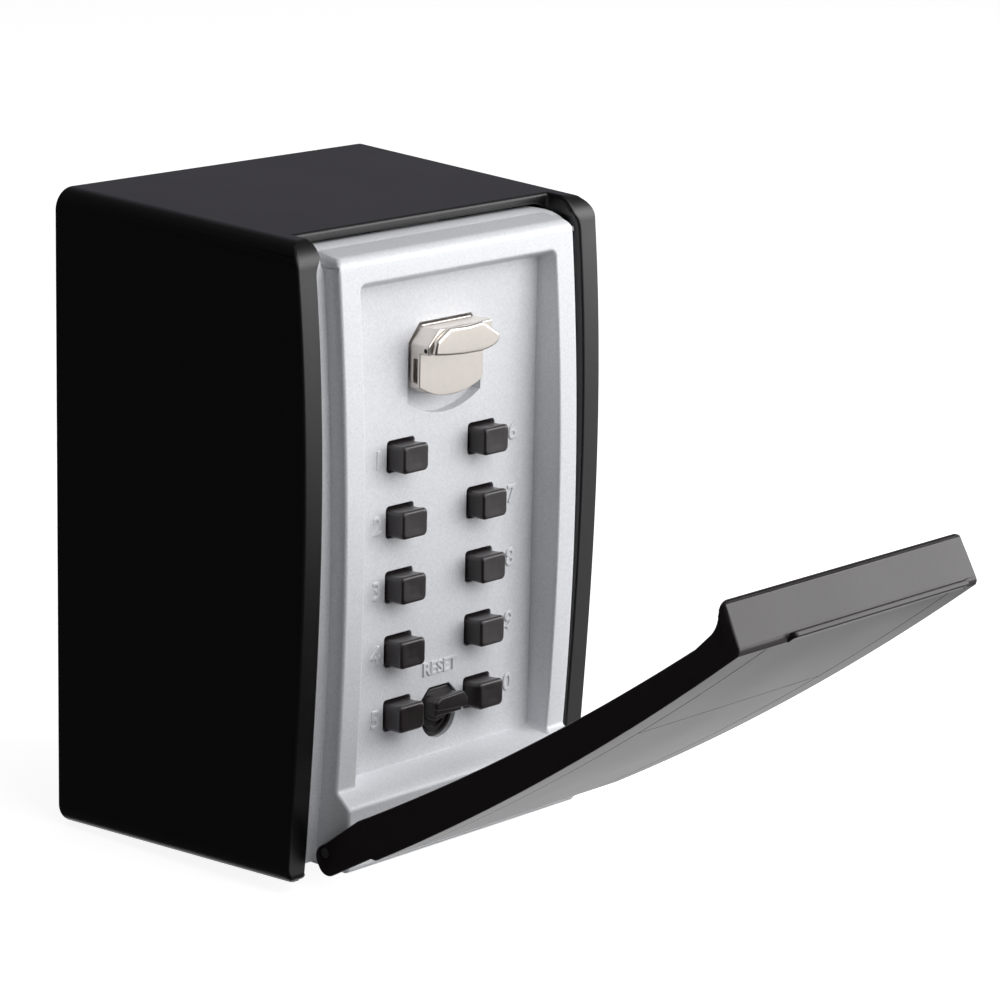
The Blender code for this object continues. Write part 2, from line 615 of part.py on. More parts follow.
def make_lever():
    """The opening lever: a bed plate, a body and a thumb tab reaching right."""
    nickel = finishes["lever_nickel"]
    bed = [(x, z + (LEVER_TRAVEL + 0.6 if z < 115 else 0)) for x, z in lever_pocket_outline(0.5)]
    lever = prism("lever", bed, ALONG_Y, -75.6, LEVER_POCKET_FLOOR - 0.35, nickel)
    left, right = -11.0, 10.2
    body = arc((0, 133.2), 22.0, 270 - 29, 270 + 27, 8)
    body = [(min(max(x, left), right), z) for x, z in body]
    body += [(right, 128.0), (left + 3.6, 128.0), (left, 124.3)]
    join(lever, prism("lever_body", body, ALONG_Y, -78.5, -75.4))
    neck = [(left, 122.2), (right, 122.2), (right, 128.0), (left + 3.6, 128.0), (left, 124.3)]
    join(lever, prism("lever_head", neck, ALONG_Y, -81.4, -78.0))
    tab = arc((0.4, 158.0), 36.6, 270 - 18, 270 + 12, 6)
    tab += arc((8.6, 125.2), 2.7, -30, 80, 5)
    tab += [(3.0, 127.6), (-4.6, 127.9), (-9.8, 125.2)]
    join(lever, prism("lever_tab", tab, ALONG_Y, -82.6, -81.0))
    join(lever, box("lever_neck", (-2.5, -75.0, 117.9), (2.5, -67.7, 124.1)))
    set_origin(lever, 0, FLOOR_FRONT, 120)


def make_latch():
    front, rear = LATCH_FACES
    shape = [(front, 77.5), (rear, 77.5), (rear, 127.5), (-60.9, 127.5), (-60.9, 144.5)]
    shape += [(-62.4, 144.5), (-62.4, 129.0), (front, 129.0)]
    latch = prism("latch_plate", shape, ALONG_X, -7, 7, finishes["plated_steel"])
    cut(latch, box("latch_window", (-2.8, -71.0, 117.6), (2.8, -66.0, 124.4)))
    set_origin(latch, 0, front, 120)


def make_lever_spring():
    mesh = coil("lever_spring", 1.5, 0.3, 15.5, 6, finishes["spring_steel"])
    mesh.transform(Matrix.Translation((0, -69.0, 61.6)))
    spring = add_object("lever_spring", mesh, finishes["spring_steel"])
    set_origin(spring, 0, -69.0, 61.6)


def make_reset_lever():
    """The reset lever: a bed plate in its pocket with a small thumb tab on the front."""
    black = finishes["button_black"]
    bed = reset_pocket_outline(0.5, RESET_POCKET[0] + 3.6)
    reset = prism("reset_lever", bed, ALONG_Y, -75.0, RESET_POCKET_FLOOR - 0.35, black)
    body = [(-4.4, 34.3), (4.6, 34.3), (4.6, 38.6), (-3.2, 38.6), (-4.4, 37.6)]
    join(reset, prism("reset_body", body, ALONG_Y, -79.0, -74.5))
    tab = [(-4.8, 36.0), (5.4, 35.2), (6.0, 37.0), (4.4, 39.2), (-3.4, 38.9), (-4.8, 37.9)]
    join(reset, prism("reset_tab", tab, ALONG_Y, -80.0, -78.5))
    low, high = (RESET_X - 1.5, -74.0, 36.0), (RESET_X + 1.5, -69.9, 38.4)
    join(reset, box("reset_neck", low, high))
    low, high = (RESET_X - 4.5, -70.4, 31.0), (RESET_X + 4.5, -67.9, 40.5)
    join(reset, box("reset_keeper", low, high))
    set_origin(reset, RESET_X, FLOOR_FRONT, 37)


def make_reset_spring():
    mesh = coil("reset_spring", 1.2, 0.25, 12.2, 5, finishes["spring_steel"])
    mesh.transform(Matrix.Translation((RESET_X, -69.0, 18.4)))
    spring = add_object("reset_spring", mesh, finishes["spring_steel"])
    set_origin(spring, RESET_X, -69.0, 18.4)


def make_cover():
    """A bowed skin with a returned lip at its free end and two side walls that become hinge arms."""
    roll = (door_front(DOOR_TOP - ROLL_RADIUS) + REBATE_DEPTH + ROLL_RADIUS, DOOR_TOP - ROLL_RADIUS)
    outer = [(cover_face(z), z) for z in heights(COVER_STEP, 149.0, 14)]
    lip = [(-81.6, 149.85), (-80.6, 150.1), (-71.0, 150.8), (-70.4, 150.6)]
    hollow = arc(roll, ROLL_RADIUS + 0.45, 100, 172, 7)
    rim = [(cover_rim(z), z) for z in heights(139.0, 24.0, 12)]
    arm = [(-77.8, 12.0)]
    arm += arc((-80.9, 9.4), 3.1, 0, -90, 4)
    arm += arc((-82.2, 9.4), 3.1, -90, -170, 4)
    arm += [(-85.5, 16.0), (-85.75, COVER_STEP - 1.2)]
    cover = prism("cover", outer + lip + hollow + rim + arm, ALONG_X, -COVER_HALF_WIDTH, COVER_HALF_WIDTH,
                  finishes["cover_black"])

    inside = [(cover_face(z) + COVER_SKIN, z) for z in heights(COVER_STEP + 3.0, 147.6, 14)]
    inside += [(-82.0, 148.2), (-80.6, 148.45), (-68.0, 149.4), (-60.0, 149.4), (-60.0, -5.0), (-95.0, -5.0)]
    inside += [(-95.0, COVER_STEP), (-85.2, COVER_STEP)]
    reach = COVER_HALF_WIDTH - COVER_WALL
    cut(cover, prism("cover_inside", inside, ALONG_X, -reach, reach))
    corners = rounded_outline((-COVER_HALF_WIDTH, -5.0), (COVER_HALF_WIDTH, 151.2), 2.5, 0.5, 3)
    combine(cover, prism("cover_outline", corners, ALONG_Y, -100, -60), "INTERSECT")
    ledge = rounded_outline(COVER_LEDGE[0], COVER_LEDGE[1], 1.2, 0.3, 3)
    join(cover, prism("cover_ledge", ledge, ALONG_Y, *LEDGE_FACES))
    cut(cover, rod("cover_pin_holes", "X", (0, *COVER_AXIS), COVER_HOLE_RADIUS, 120.0))
    for obj in [cover] + [m.object for m in cover.modifiers]:
        set_origin(obj, 0, *COVER_AXIS)
        obj.rotation_euler.x = COVER_OPEN


def make_cover_pins():
    for name, side in (("left", -1), ("right", 1)):
        centre = (side * 38.6, *COVER_AXIS)
        pin = rod(f"cover_pin_{name}", "X", centre, COVER_PIN_RADIUS, 6.0, finishes["plated_steel"])
        set_origin(pin, side * 38.6, *COVER_AXIS)


clear_scene()
parts = new_collection("key_lock_box")
cutters = new_collection("key_lock_box_cutters")
finishes = {
    "housing_black": material("housing_black", (0.006, 0.005, 0.006), 0.0, 0.32),
    "door_silver": material("door_silver", (0.70, 0.71, 0.73), 0.6, 0.35),
    "cover_black": material("cover_black", (0.008, 0.007, 0.008), 0.0, 0.3),
    "button_black": material("button_black", (0.012, 0.011, 0.012), 0.0, 0.3),
    "lever_nickel": material("lever_nickel", (0.74, 0.69, 0.64), 1.0, 0.22),
    "plated_steel": material("plated_steel", (0.55, 0.56, 0.58), 1.0, 0.35),
    "spring_steel": material("spring_steel", (0.35, 0.36, 0.38), 1.0, 0.3),
    "screw_steel": material("screw_steel", (0.45, 0.45, 0.46), 1.0, 0.3),
    "cam_brass": material("cam_brass", (0.72, 0.52, 0.22), 1.0, 0.3),
}
make_housing()
make_key_hook()
make_strike()
make_door_hinge_pin()
make_door()
make_back_plate()
make_carrier_plate()
make_buttons()
make_button_springs()
make_code_cams()
make_lever()
make_latch()
make_lever_spring()
make_reset_lever()
make_reset_spring()
make_cover()
make_cover_pins()
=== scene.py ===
"""The looks of a wall-mounted push-button key lock box with its weather cover open.

Shapes are drawn in millimetres, with heights measured up from the box's bottom edge. FRAME
turns them into the frame's metres: +X right, -Y away from the wall, +Z up.
"""
import json
import math

import bmesh
import bpy
from mathutils import Matrix, Vector
from mathutils.bvhtree import BVHTree


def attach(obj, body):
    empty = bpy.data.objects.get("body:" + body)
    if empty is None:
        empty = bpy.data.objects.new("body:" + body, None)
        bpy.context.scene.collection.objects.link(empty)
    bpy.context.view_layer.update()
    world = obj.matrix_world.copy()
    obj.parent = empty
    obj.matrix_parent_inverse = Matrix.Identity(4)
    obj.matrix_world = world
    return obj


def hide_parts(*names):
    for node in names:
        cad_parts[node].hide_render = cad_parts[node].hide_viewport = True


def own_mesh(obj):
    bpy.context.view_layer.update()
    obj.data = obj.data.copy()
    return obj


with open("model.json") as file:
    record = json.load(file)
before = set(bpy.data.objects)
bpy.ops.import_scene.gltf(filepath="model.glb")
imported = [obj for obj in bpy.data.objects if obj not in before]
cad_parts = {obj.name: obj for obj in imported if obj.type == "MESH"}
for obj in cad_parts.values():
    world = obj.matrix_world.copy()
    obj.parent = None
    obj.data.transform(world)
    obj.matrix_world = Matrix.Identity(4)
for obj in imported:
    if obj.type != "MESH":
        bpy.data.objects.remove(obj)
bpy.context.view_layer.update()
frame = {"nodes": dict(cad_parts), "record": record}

MM = 0.001

# Sizes and places. _FRONT, _REAR, _FACE and _FACES are places along Y, and _AXIS is (y, height).
# Recesses and slots are (half width, bottom, top), and sizes are (width, height).

# Places well past the box, for the ends of cutters
FAR_SIDE = 60.0
FAR_FRONT = -95.0

# Housing
HEIGHT = 155.0
BACK_HALF_WIDTH = 52.45
FRONT_HALF_WIDTH = 49.85
HOUSING_DEPTH = 81.0
TOP_DRAFT = 3.15
BOTTOM_DRAFT = 2.5
EDGE_RADIUS = 5.2
BACK_EDGE_RADIUS = 0.8
CHEEK_TOE = 5.5
CHEEK_TOE_RADIUS = 3.0
CHEEK_CORNER = 145.9
CHEEK_CORNER_RADIUS = 6.5
BACK_THICKNESS = 6.0
POCKET_HALF_WIDTH = 43.75
POCKET_BOTTOM = 7.0
POCKET_TOP = 149.9
POCKET_RADIUS = 6.0
POCKET_FOOT_RADIUS = 3.0
HOOD_FRONT = -68.7
NOTCH_HALF_WIDTH = 42.05
NOTCH_BOTTOM = 137.0
NOTCH_RADIUS = 1.0
SILL_FRONT = -62.0
SILL_TOP = 12.0
WALL_HOLE_X = 28.0
WALL_HOLE_Z = (29.5, 125.5)
WALL_HOLE_RADIUS = 2.6
HOOK_BORE = (0, -4.5, 125.5)
HOOK_BORE_LENGTH = 7.0
STRIKE_BORES = [(x, -58.0, 149.9) for x in (-5.0, 5.0)]
STRIKE_BORE_RADIUS = 0.95
STRIKE_BORE_LENGTH = 3.4
SCREW_BORE_RADIUS = 1.3
SCREW_BORE_SIDES = 24
HOUSING_SOFTENING = 0.8

# Door
DOOR_AXIS = (-69.0, 8.0)
FLANGE_HALF_WIDTH = 43.3
FLANGE_BOTTOM = 6.3
FLANGE_REAR = -71.0
FLANGE_START = 2.0
FLANGE_TOP_REAR = -66.0
FLANGE_TOP_THICKNESS = 3.0
FLANGE_MARGIN = 2.0
REBATE_DEPTH = 4.8
ROLL_RADIUS = 6.75
DOOR_TOP = 149.2
PLATEAU_HALF_WIDTH = 39.2
PLATEAU_REAR = -71.5
PLATEAU_BOTTOM = 24.0
PLATEAU_TOP = 147.6
PLATEAU_RIM = (-69.5, 146.4)
FOOT_FRONT = -85.1
FOOT_BOTTOM = 5.2
FOOT_CHAMFER = 1.0
FOOT_TOP = 20.8
SLOPE_END = (-82.0, 23.3)
TOP_CORNER_RADIUS = 2.2
FACE_SOFTENING = 0.8
RECESS_MOUTH = (32.75, 22.9, 141.8)
RECESS_FLOOR = (32.14, 24.0, 139.2)
MOUTH_FACE = -81.5
RECESS_REACH = -92.0
RECESS_CORNER = 1.6
MOUTH_SOFTENING = 0.55
FLOOR_FRONT = -75.2
FLOOR_REAR = -72.4
FLOOR_CUTTER = (-78.0, -68.0)
FLOOR_SOFTENING = 0.16
PAN_HOLLOW = (33.5, 21.5, 142.5)
CASE_HALF_WIDTH = 38.0
CASE_HEIGHTS = (15.5, 143.5)
CASE_REAR = -56.0
CASE_WALL = 2.5
CASE_CORNER = 3.0
CASE_SOFTENING = 0.35
LATCH_OPENING = ((-8.0, -63.2, 138.0), (8.0, -60.2, 146.0))
WEB_FACES = (-71.6, -68.4)
WEB_HEIGHTS = (7.0, 17.0)
SPRING_SEAT = ((-4, -72.9, 58.5), (4, -66.5, 61.2))
BARREL_RADIUS = 3.4
BARREL_HALF_LENGTH = 36.0
HINGE_HOLE_RADIUS = 1.9
HINGE_BORE_LENGTH = 6.0
BACK_SCREWS = [(x, z) for x in (-33.0, 33.0) for z in (22.0, 137.0)]
# Screw posts: radius, bore radius and bore depth
BACK_POST = (3.4, SCREW_BORE_RADIUS, 8.0)
CARRIER_SCREWS = [(x, 68.1) for x in (-28.0, 28.0)]
CARRIER_FRONT = -62.9
CARRIER_GAP = 0.3
CARRIER_POST = (2.8, 1.1, 5.8)
SPRING_GAP = 0.35

# Buttons, five rows in two columns, with a digit outside each
BUTTON_X = 13.58
BUTTON_LOWEST = 36.5
BUTTON_PITCH = 15.5
BUTTON_SIZE = (8.3, 6.6)
BUTTON_FACE = -80.35
BUTTON_CORNER = 1.1
BUTTON_EDGE = 0.7
BUTTON_SCOOP = 0.32
BUTTON_SCOOP_START = 0.25
BUTTON_DISH = (0.6, 0.09), (0.3, 0.13)
BUTTON_HOLE = (9.1, 7.6)
BUTTON_HOLE_CORNER = 0.9
BUTTON_FLANGE = (10.4, 8.8)
BUTTON_FLANGE_FACES = (-72.1, -70.9)
STEM_RADIUS = 1.5
STEM_END = -65.0
DIGITS = ("5", "4", "3", "2", "1"), ("0", "9", "8", "7", "6")
DIGIT_X = (-21.1, 24.4)
DIGIT_DROP = 0.4
DIGIT_SIZE = 6.0
DIGIT_RELIEF = 0.2
DIGIT_ROUNDING = 0.14
WORD_SIZE = 4.4
WORD_HEIGHT = 44.9

# Opening lever, with its pocket as left, right, bottom and top
LEVER_TRAVEL = 4.5
LEVER_POCKET = (-11.5, 12.9, 106.5, 128.7)
LEVER_POCKET_FLOOR = -72.5
LEVER_POCKET_ARC = 22.0
LEVER_POCKET_CHAMFER = (3.6, 4.3)
LEVER_PAD = ((-13.5, 104.0), (15.0, 131.0))
LEVER_PAD_REAR = -70.0
LEVER_SLOT = (3.2, 112.6, 124.8)
LEVER_BED_GAP = 0.5
LEVER_SIDES = (-11.2, 10.2)
LEVER_TOP = 128.0
LEVER_SHOULDER = 124.3
LEVER_SPRING_FOOT = (0, -69.0, 61.6)
LEVER_SPRING_LENGTH = 15.5

# Reset lever, with its pocket as bottom and top, and the cup's rings as outer and inner radius
RESET_X = 0.7
RESET_POCKET_HALF_WIDTH = 5.9
RESET_POCKET = (27.5, 40.3)
RESET_POCKET_FLOOR = -72.7
RESET_POCKET_CHAMFER = 2.5
RESET_PAD = ((-7.2, 25.5), (7.8, 41.7))
RESET_PAD_REAR = -70.7
RESET_SLOT = (1.9, 32.1, 38.8)
RESET_SLOT_CORNER = 0.6
RESET_SPRING_FOOT = (RESET_X, -69.0, 18.4)
RESET_SPRING_LENGTH = 12.2
CUP_FACE = -73.9
CUP_GAP = 0.02
CUP_RINGS = ((5.2, 4.3), (3.6, 0.9))
SLOT_REACH = (-80.0, -65.0)

# Weather cover, drawn shut and then swung open about its pins
COVER_AXIS = (-79.8, 9.9)
COVER_OPEN = math.radians(57.7)
COVER_HALF_WIDTH = 41.7
COVER_WALL = 1.8
COVER_SKIN = 1.6
COVER_STEP = 24.6
COVER_TOP = 149.0
COVER_GAP = 0.45
COVER_FREE_CORNER = 2.5
COVER_LIP_REAR = -70.3
COVER_LIP_CORNER = 2.4
COVER_ARM_RADIUS = 3.1
COVER_SOFTENING = 0.4
COVER_LEDGE = ((-25.0, 148.0), (36.5, 151.7))
LEDGE_FACES = (-82.3, -80.9)
COVER_HOLE_RADIUS = 1.6
PANEL_HALF_WIDTH = 31.5
PANEL_LINE = 105.0
GROOVE_WIDTH = 0.45
GROOVE_DEPTH = 0.3

# Finishes: the broad noise in the roughness, the fine noise in the colour, and the relief in metres
BROAD_SCALE = 35.0
BROAD_DETAIL = 3.0
GRAIN_CONTRAST = (-0.5, 1.5)
RELIEF_DEPTH = 0.0002
# A mix node's sockets when it mixes colours
MIX_SHARE, MIX_FIRST, MIX_SECOND, MIX_RESULT = 0, 6, 7, 2

# Soft edges of the CAD pieces that stay in view
CAD_EDGE = 0.15
CAD_EDGE_ANGLE = 40

# Camera and floor
CAMERA_PLACE = (-0.67101, -0.70298, 0.23998)
CAMERA_TURN = (75.841, -1.211, -47.467)
CAMERA_LENS = 146.51
CAMERA_SENSOR = 36.0
FLOOR_HEIGHT = -0.0777
FLOOR_SIZE = 8.0
FLOOR_GREY = 0.5
# Brightness for what isn't seen directly, and for the camera
FLOOR_GLOW = (0.05, 0.9)
WORLD_STRENGTH = (0.04, 1.0)
# Where most lamps point
MIDDLE = (0, -0.07, 0)

# Softening: points nearer than this are one, and a point this share of the width away has strayed
WELD = 0.02
STRAY_SHARE = 0.6

FRAME = Matrix.Translation((0, 0, -HEIGHT / 2 * MM)) @ Matrix.Scale(MM, 4)
# An outline's plane stood up in the box, with its thickness along X or along Y
ALONG_X = Matrix(((0, 0, 1, 0), (1, 0, 0, 0), (0, 1, 0, 0), (0, 0, 0, 1)))
ALONG_Y = Matrix(((1, 0, 0, 0), (0, 0, -1, 0), (0, 1, 0, 0), (0, 0, 0, 1)))


def mesh_of(bm):
    mesh = bpy.data.meshes.new("shape")
    bmesh.ops.recalc_face_normals(bm, faces=bm.faces)
    bm.to_mesh(mesh)
    bm.free()
    return mesh


def shown_mesh(obj):
    """The mesh that an object shows, with doubled points welded. The object is removed."""
    bpy.context.scene.collection.objects.link(obj)
    shown = obj.evaluated_get(bpy.context.evaluated_depsgraph_get())
    mesh = bpy.data.meshes.new_from_object(shown)
    bpy.data.objects.remove(obj, do_unlink=True)
    bm = bmesh.new()
    bm.from_mesh(mesh)
    bmesh.ops.remove_doubles(bm, verts=bm.verts, dist=1e-4)
    return mesh_of(bm)


def modified(mesh, kind, **settings):
    """What one modifier makes of a mesh."""
    obj = bpy.data.objects.new("work", mesh)
    modifier = obj.modifiers.new(kind, kind)
    for name, value in settings.items():
        setattr(modifier, name, value)
    return shown_mesh(obj)


def boolean(mesh, others, operation):
    for other in others:
        tool = bpy.data.objects.new("tool", other)
        bpy.context.scene.collection.objects.link(tool)
        mesh = modified(mesh, "BOOLEAN", operation=operation, solver="EXACT", object=tool)
        bpy.data.objects.remove(tool, do_unlink=True)
    return mesh


def cut(mesh, *others):
    return boolean(mesh, others, "DIFFERENCE")


def join(mesh, *others):
    return boolean(mesh, others, "UNION")


def common(mesh, *others):
    return boolean(mesh, others, "INTERSECT")


def soften(mesh, width, segments=3, angle=35, where=None):
    """Rounds each edge that turns by more than an angle in degrees, all over or where asked.

    A point that the rounding throws far from the shape goes back onto it.
    """
    bm = bmesh.new()
    bm.from_mesh(mesh)
    bmesh.ops.remove_doubles(bm, verts=bm.verts, dist=WELD)
    bmesh.ops.dissolve_degenerate(bm, dist=WELD, edges=bm.edges)
    before = BVHTree.FromBMesh(bm)
    seams = [e for e in bm.edges if len(e.link_faces) == 2]
    turns = [e for e in seams if e.calc_face_angle() > math.radians(angle)]
    if where:
        turns = [e for e in turns if all(where(*v.co) for v in e.verts)]
    bmesh.ops.bevel(
        bm,
        geom=turns,
        offset=width,
        segments=segments,
        profile=0.5,
        affect="EDGES",
        clamp_overlap=False,
    )
    for vert in bm.verts:
        nearest, _, _, gap = before.find_nearest(vert.co)
        if gap > STRAY_SHARE * width:
            vert.co = nearest
    return mesh_of(bm)


def block(low, high, radius=0.0, along=1, segments=6):
    """A block between two corners, with the four edges that run along one axis rounded."""
    bm = bmesh.new()
    size = [high[i] - low[i] for i in range(3)]
    middle = [(high[i] + low[i]) / 2 for i in range(3)]
    place = Matrix.Translation(middle) @ Matrix.Diagonal((*size, 1.0))
    bmesh.ops.create_cube(bm, size=1.0, matrix=place)
    if radius:
        edges = [e for e in bm.edges if abs(e.verts[0].co[along] - e.verts[1].co[along]) > 1e-6]
        bmesh.ops.bevel(bm, geom=edges, offset=radius, segments=segments, profile=0.5, affect="EDGES")
    return mesh_of(bm)


def rod(axis, centre, radius, length, sides=40):
    """A cylinder along X, Y or Z, centred at a point."""
    turn = {"X": Matrix.Rotation(math.pi / 2, 4, "Y"), "Y": Matrix.Rotation(math.pi / 2, 4, "X")}
    place = Matrix.Translation(centre) @ turn.get(axis, Matrix.Identity(4))
    bm = bmesh.new()
    bmesh.ops.create_cone(
        bm, cap_ends=True, segments=sides, radius1=radius, radius2=radius, depth=length, matrix=place
    )
    return mesh_of(bm)


def prism(outline, stand, low, high):
    """A flat outline given thickness from low to high along the axis that stand names."""
    curve = bpy.data.curves.new("outline", "CURVE")
    curve.dimensions = "2D"
    curve.fill_mode = "BOTH"
    curve.extrude = (high - low) / 2
    spline = curve.splines.new("POLY")
    spline.points.add(len(outline) - 1)
    for point, (across, up) in zip(spline.points, outline):
        point.co = (across, up, 0.0, 1.0)
    spline.use_cyclic_u = True
    mesh = shown_mesh(bpy.data.objects.new("outline", curve))
    middle = (low + high) / 2
    shift = (middle, 0, 0) if stand is ALONG_X else (0, middle, 0)
    mesh.transform(Matrix.Translation(shift) @ stand)
    return mesh


def merged(meshes):
    """Several shapes as one mesh, left as they are."""
    bm = bmesh.new()
    for mesh in meshes:
        bm.from_mesh(mesh)
    return mesh_of(bm)


def moved(mesh, *shift):
    mesh.transform(Matrix.Translation(shift))
    return mesh


def arc(centre, radius, start, end, steps):
    """Points along an arc, with angles in degrees."""
    angles = [math.radians(start + (end - start) * i / steps) for i in range(steps + 1)]
    return [(centre[0] + radius * math.cos(a), centre[1] + radius * math.sin(a)) for a in angles]


def rounded_outline(low, high, top_radius, bottom_radius, steps=12):
    (x0, z0), (x1, z1) = low, high
    corners = (
        ((x1 - bottom_radius, z0 + bottom_radius), bottom_radius, -90, 0),
        ((x1 - top_radius, z1 - top_radius), top_radius, 0, 90),
        ((x0 + top_radius, z1 - top_radius), top_radius, 90, 180),
        ((x0 + bottom_radius, z0 + bottom_radius), bottom_radius, 180, 270),
    )
    points = []
    for centre, radius, start, end in corners:
        points += arc(centre, radius, start, end, steps)
    return points


def heights(low, high, count):
    return [low + (high - low) * i / count for i in range(count + 1)]


def cheek_front(z):
    """How far out the side walls reach at a height."""
    t = (z - 77.5) / 59.6
    return -(80.24 + 1.30 * t - 2.43 * t**2 - 0.56 * t**3)


def door_front(z):
    """How far out the door's raised face bows at a height."""
    t = (z - 77.5) / 59.6
    return -(83.08 + 0.13 * t - 2.54 * t**2)


def cover_face(z):
    """The shut cover's outer face at a height."""
    return -(87.5 - 6.6e-4 * (z - 60) ** 2)


def cover_rim(z):
    """The edge of the shut cover's side walls at a height."""
    return -(78.9 - 6.5e-4 * (z - 82) ** 2)


def button_places():
    for column, x in enumerate((-BUTTON_X, BUTTON_X)):
        for row, digit in enumerate(DIGITS[column]):
            yield digit, x, BUTTON_LOWEST + BUTTON_PITCH * row


# Finishes


def add_node(tree, kind, **inputs):
    node = tree.nodes.new(kind)
    for name, value in inputs.items():
        node.inputs[name.replace("_", " ")].default_value = value
    return node


def noise(tree, place, scale, detail=2.0):
    node = add_node(tree, "ShaderNodeTexNoise", Scale=scale, Detail=detail)
    tree.links.new(place.outputs["Object"], node.inputs["Vector"])
    return node.outputs["Fac"]


def ramped(tree, source, low, high):
    node = tree.nodes.new("ShaderNodeMapRange")
    node.inputs["To Min"].default_value = low
    node.inputs["To Max"].default_value = high
    tree.links.new(source, node.inputs["Value"])
    return node.outputs["Result"]


def finish(name, colour, metallic, rough, grain, grain_scale, bump, **sockets):
    """A material whose colour, roughness and surface all vary a little with noise.

    rough is the range of the roughness, grain the share by which the colour varies.
    """
    made = bpy.data.materials.new(name)
    made.use_nodes = True
    made.diffuse_color = (*colour, 1.0)
    tree = made.node_tree
    shader = tree.nodes["Principled BSDF"]
    shader.inputs["Metallic"].default_value = metallic
    for socket, value in sockets.items():
        shader.inputs[socket.replace("_", " ")].default_value = value
    place = tree.nodes.new("ShaderNodeTexCoord")
    fine = noise(tree, place, grain_scale)
    broad = noise(tree, place, BROAD_SCALE, BROAD_DETAIL)

    shade = tree.nodes.new("ShaderNodeMix")
    shade.data_type = "RGBA"
    shade.inputs[MIX_FIRST].default_value = (*[c * (1 - grain) for c in colour], 1.0)
    shade.inputs[MIX_SECOND].default_value = (*[min(1.0, c * (1 + grain)) for c in colour], 1.0)
    tree.links.new(ramped(tree, fine, *GRAIN_CONTRAST), shade.inputs[MIX_SHARE])
    tree.links.new(shade.outputs[MIX_RESULT], shader.inputs["Base Color"])
    tree.links.new(ramped(tree, broad, *rough), shader.inputs["Roughness"])

    relief = add_node(tree, "ShaderNodeBump", Strength=bump, Distance=RELIEF_DEPTH)
    tree.links.new(fine, relief.inputs["Height"])
    tree.links.new(relief.outputs["Normal"], shader.inputs["Normal"])
    return made


def make_finishes():
    """Each slot's finish: colour, metallic, roughness range, grain, grain scale and relief."""
    looks = {
        "housing_black": ((0.0032, 0.0022, 0.0030), 0.0, (0.36, 0.42), 0.10, 700.0, 0.05),
        "door_silver": ((0.80, 0.81, 0.84), 0.12, (0.46, 0.52), 0.07, 1800.0, 0.10),
        "cover_black": ((0.016, 0.011, 0.013), 0.0, (0.34, 0.40), 0.10, 900.0, 0.04),
        "button_black": ((0.018, 0.013, 0.014), 0.0, (0.32, 0.38), 0.10, 900.0, 0.06),
        "lever_nickel": ((0.80, 0.75, 0.70), 1.0, (0.28, 0.34), 0.02, 900.0, 0.02),
        "plated_steel": ((0.58, 0.59, 0.61), 1.0, (0.30, 0.38), 0.04, 600.0, 0.04),
        "spring_steel": ((0.40, 0.41, 0.43), 1.0, (0.25, 0.32), 0.03, 900.0, 0.02),
        "screw_steel": ((0.50, 0.50, 0.51), 1.0, (0.25, 0.33), 0.03, 900.0, 0.02),
        "cam_brass": ((0.72, 0.54, 0.25), 1.0, (0.25, 0.33), 0.03, 900.0, 0.03),
    }
    sheen = {"housing_black": {"Specular_IOR_Level": 0.6}, "button_black": {"Specular_IOR_Level": 0.7}}
    return {name: finish(name, *look, **sheen.get(name, {})) for name, look in looks.items()}


def piece(name, mesh, slot, body, *nodes, sharp=30):
    """Puts a mesh drawn in millimetres into the scene, riding on a body."""
    mesh.transform(FRAME)
    mesh.materials.clear()
    mesh.materials.append(finishes[slot])
    mesh.shade_smooth()
    mesh.set_sharp_from_angle(angle=math.radians(sharp))
    obj = bpy.data.objects.new(name, mesh)
    bpy.context.scene.collection.objects.link(obj)
    even = obj.modifiers.new("Even shading", "WEIGHTED_NORMAL")
    even.keep_sharp = True
    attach(obj, body)
    if nodes:
        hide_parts(*nodes)
    return obj


# Housing


def on_front_edges(x, y, z):
    """The front edges of the side walls and of the hood between them, above their toes."""
    return y < HOOD_FRONT + 0.1 and z > CHEEK_TOE - 1.5


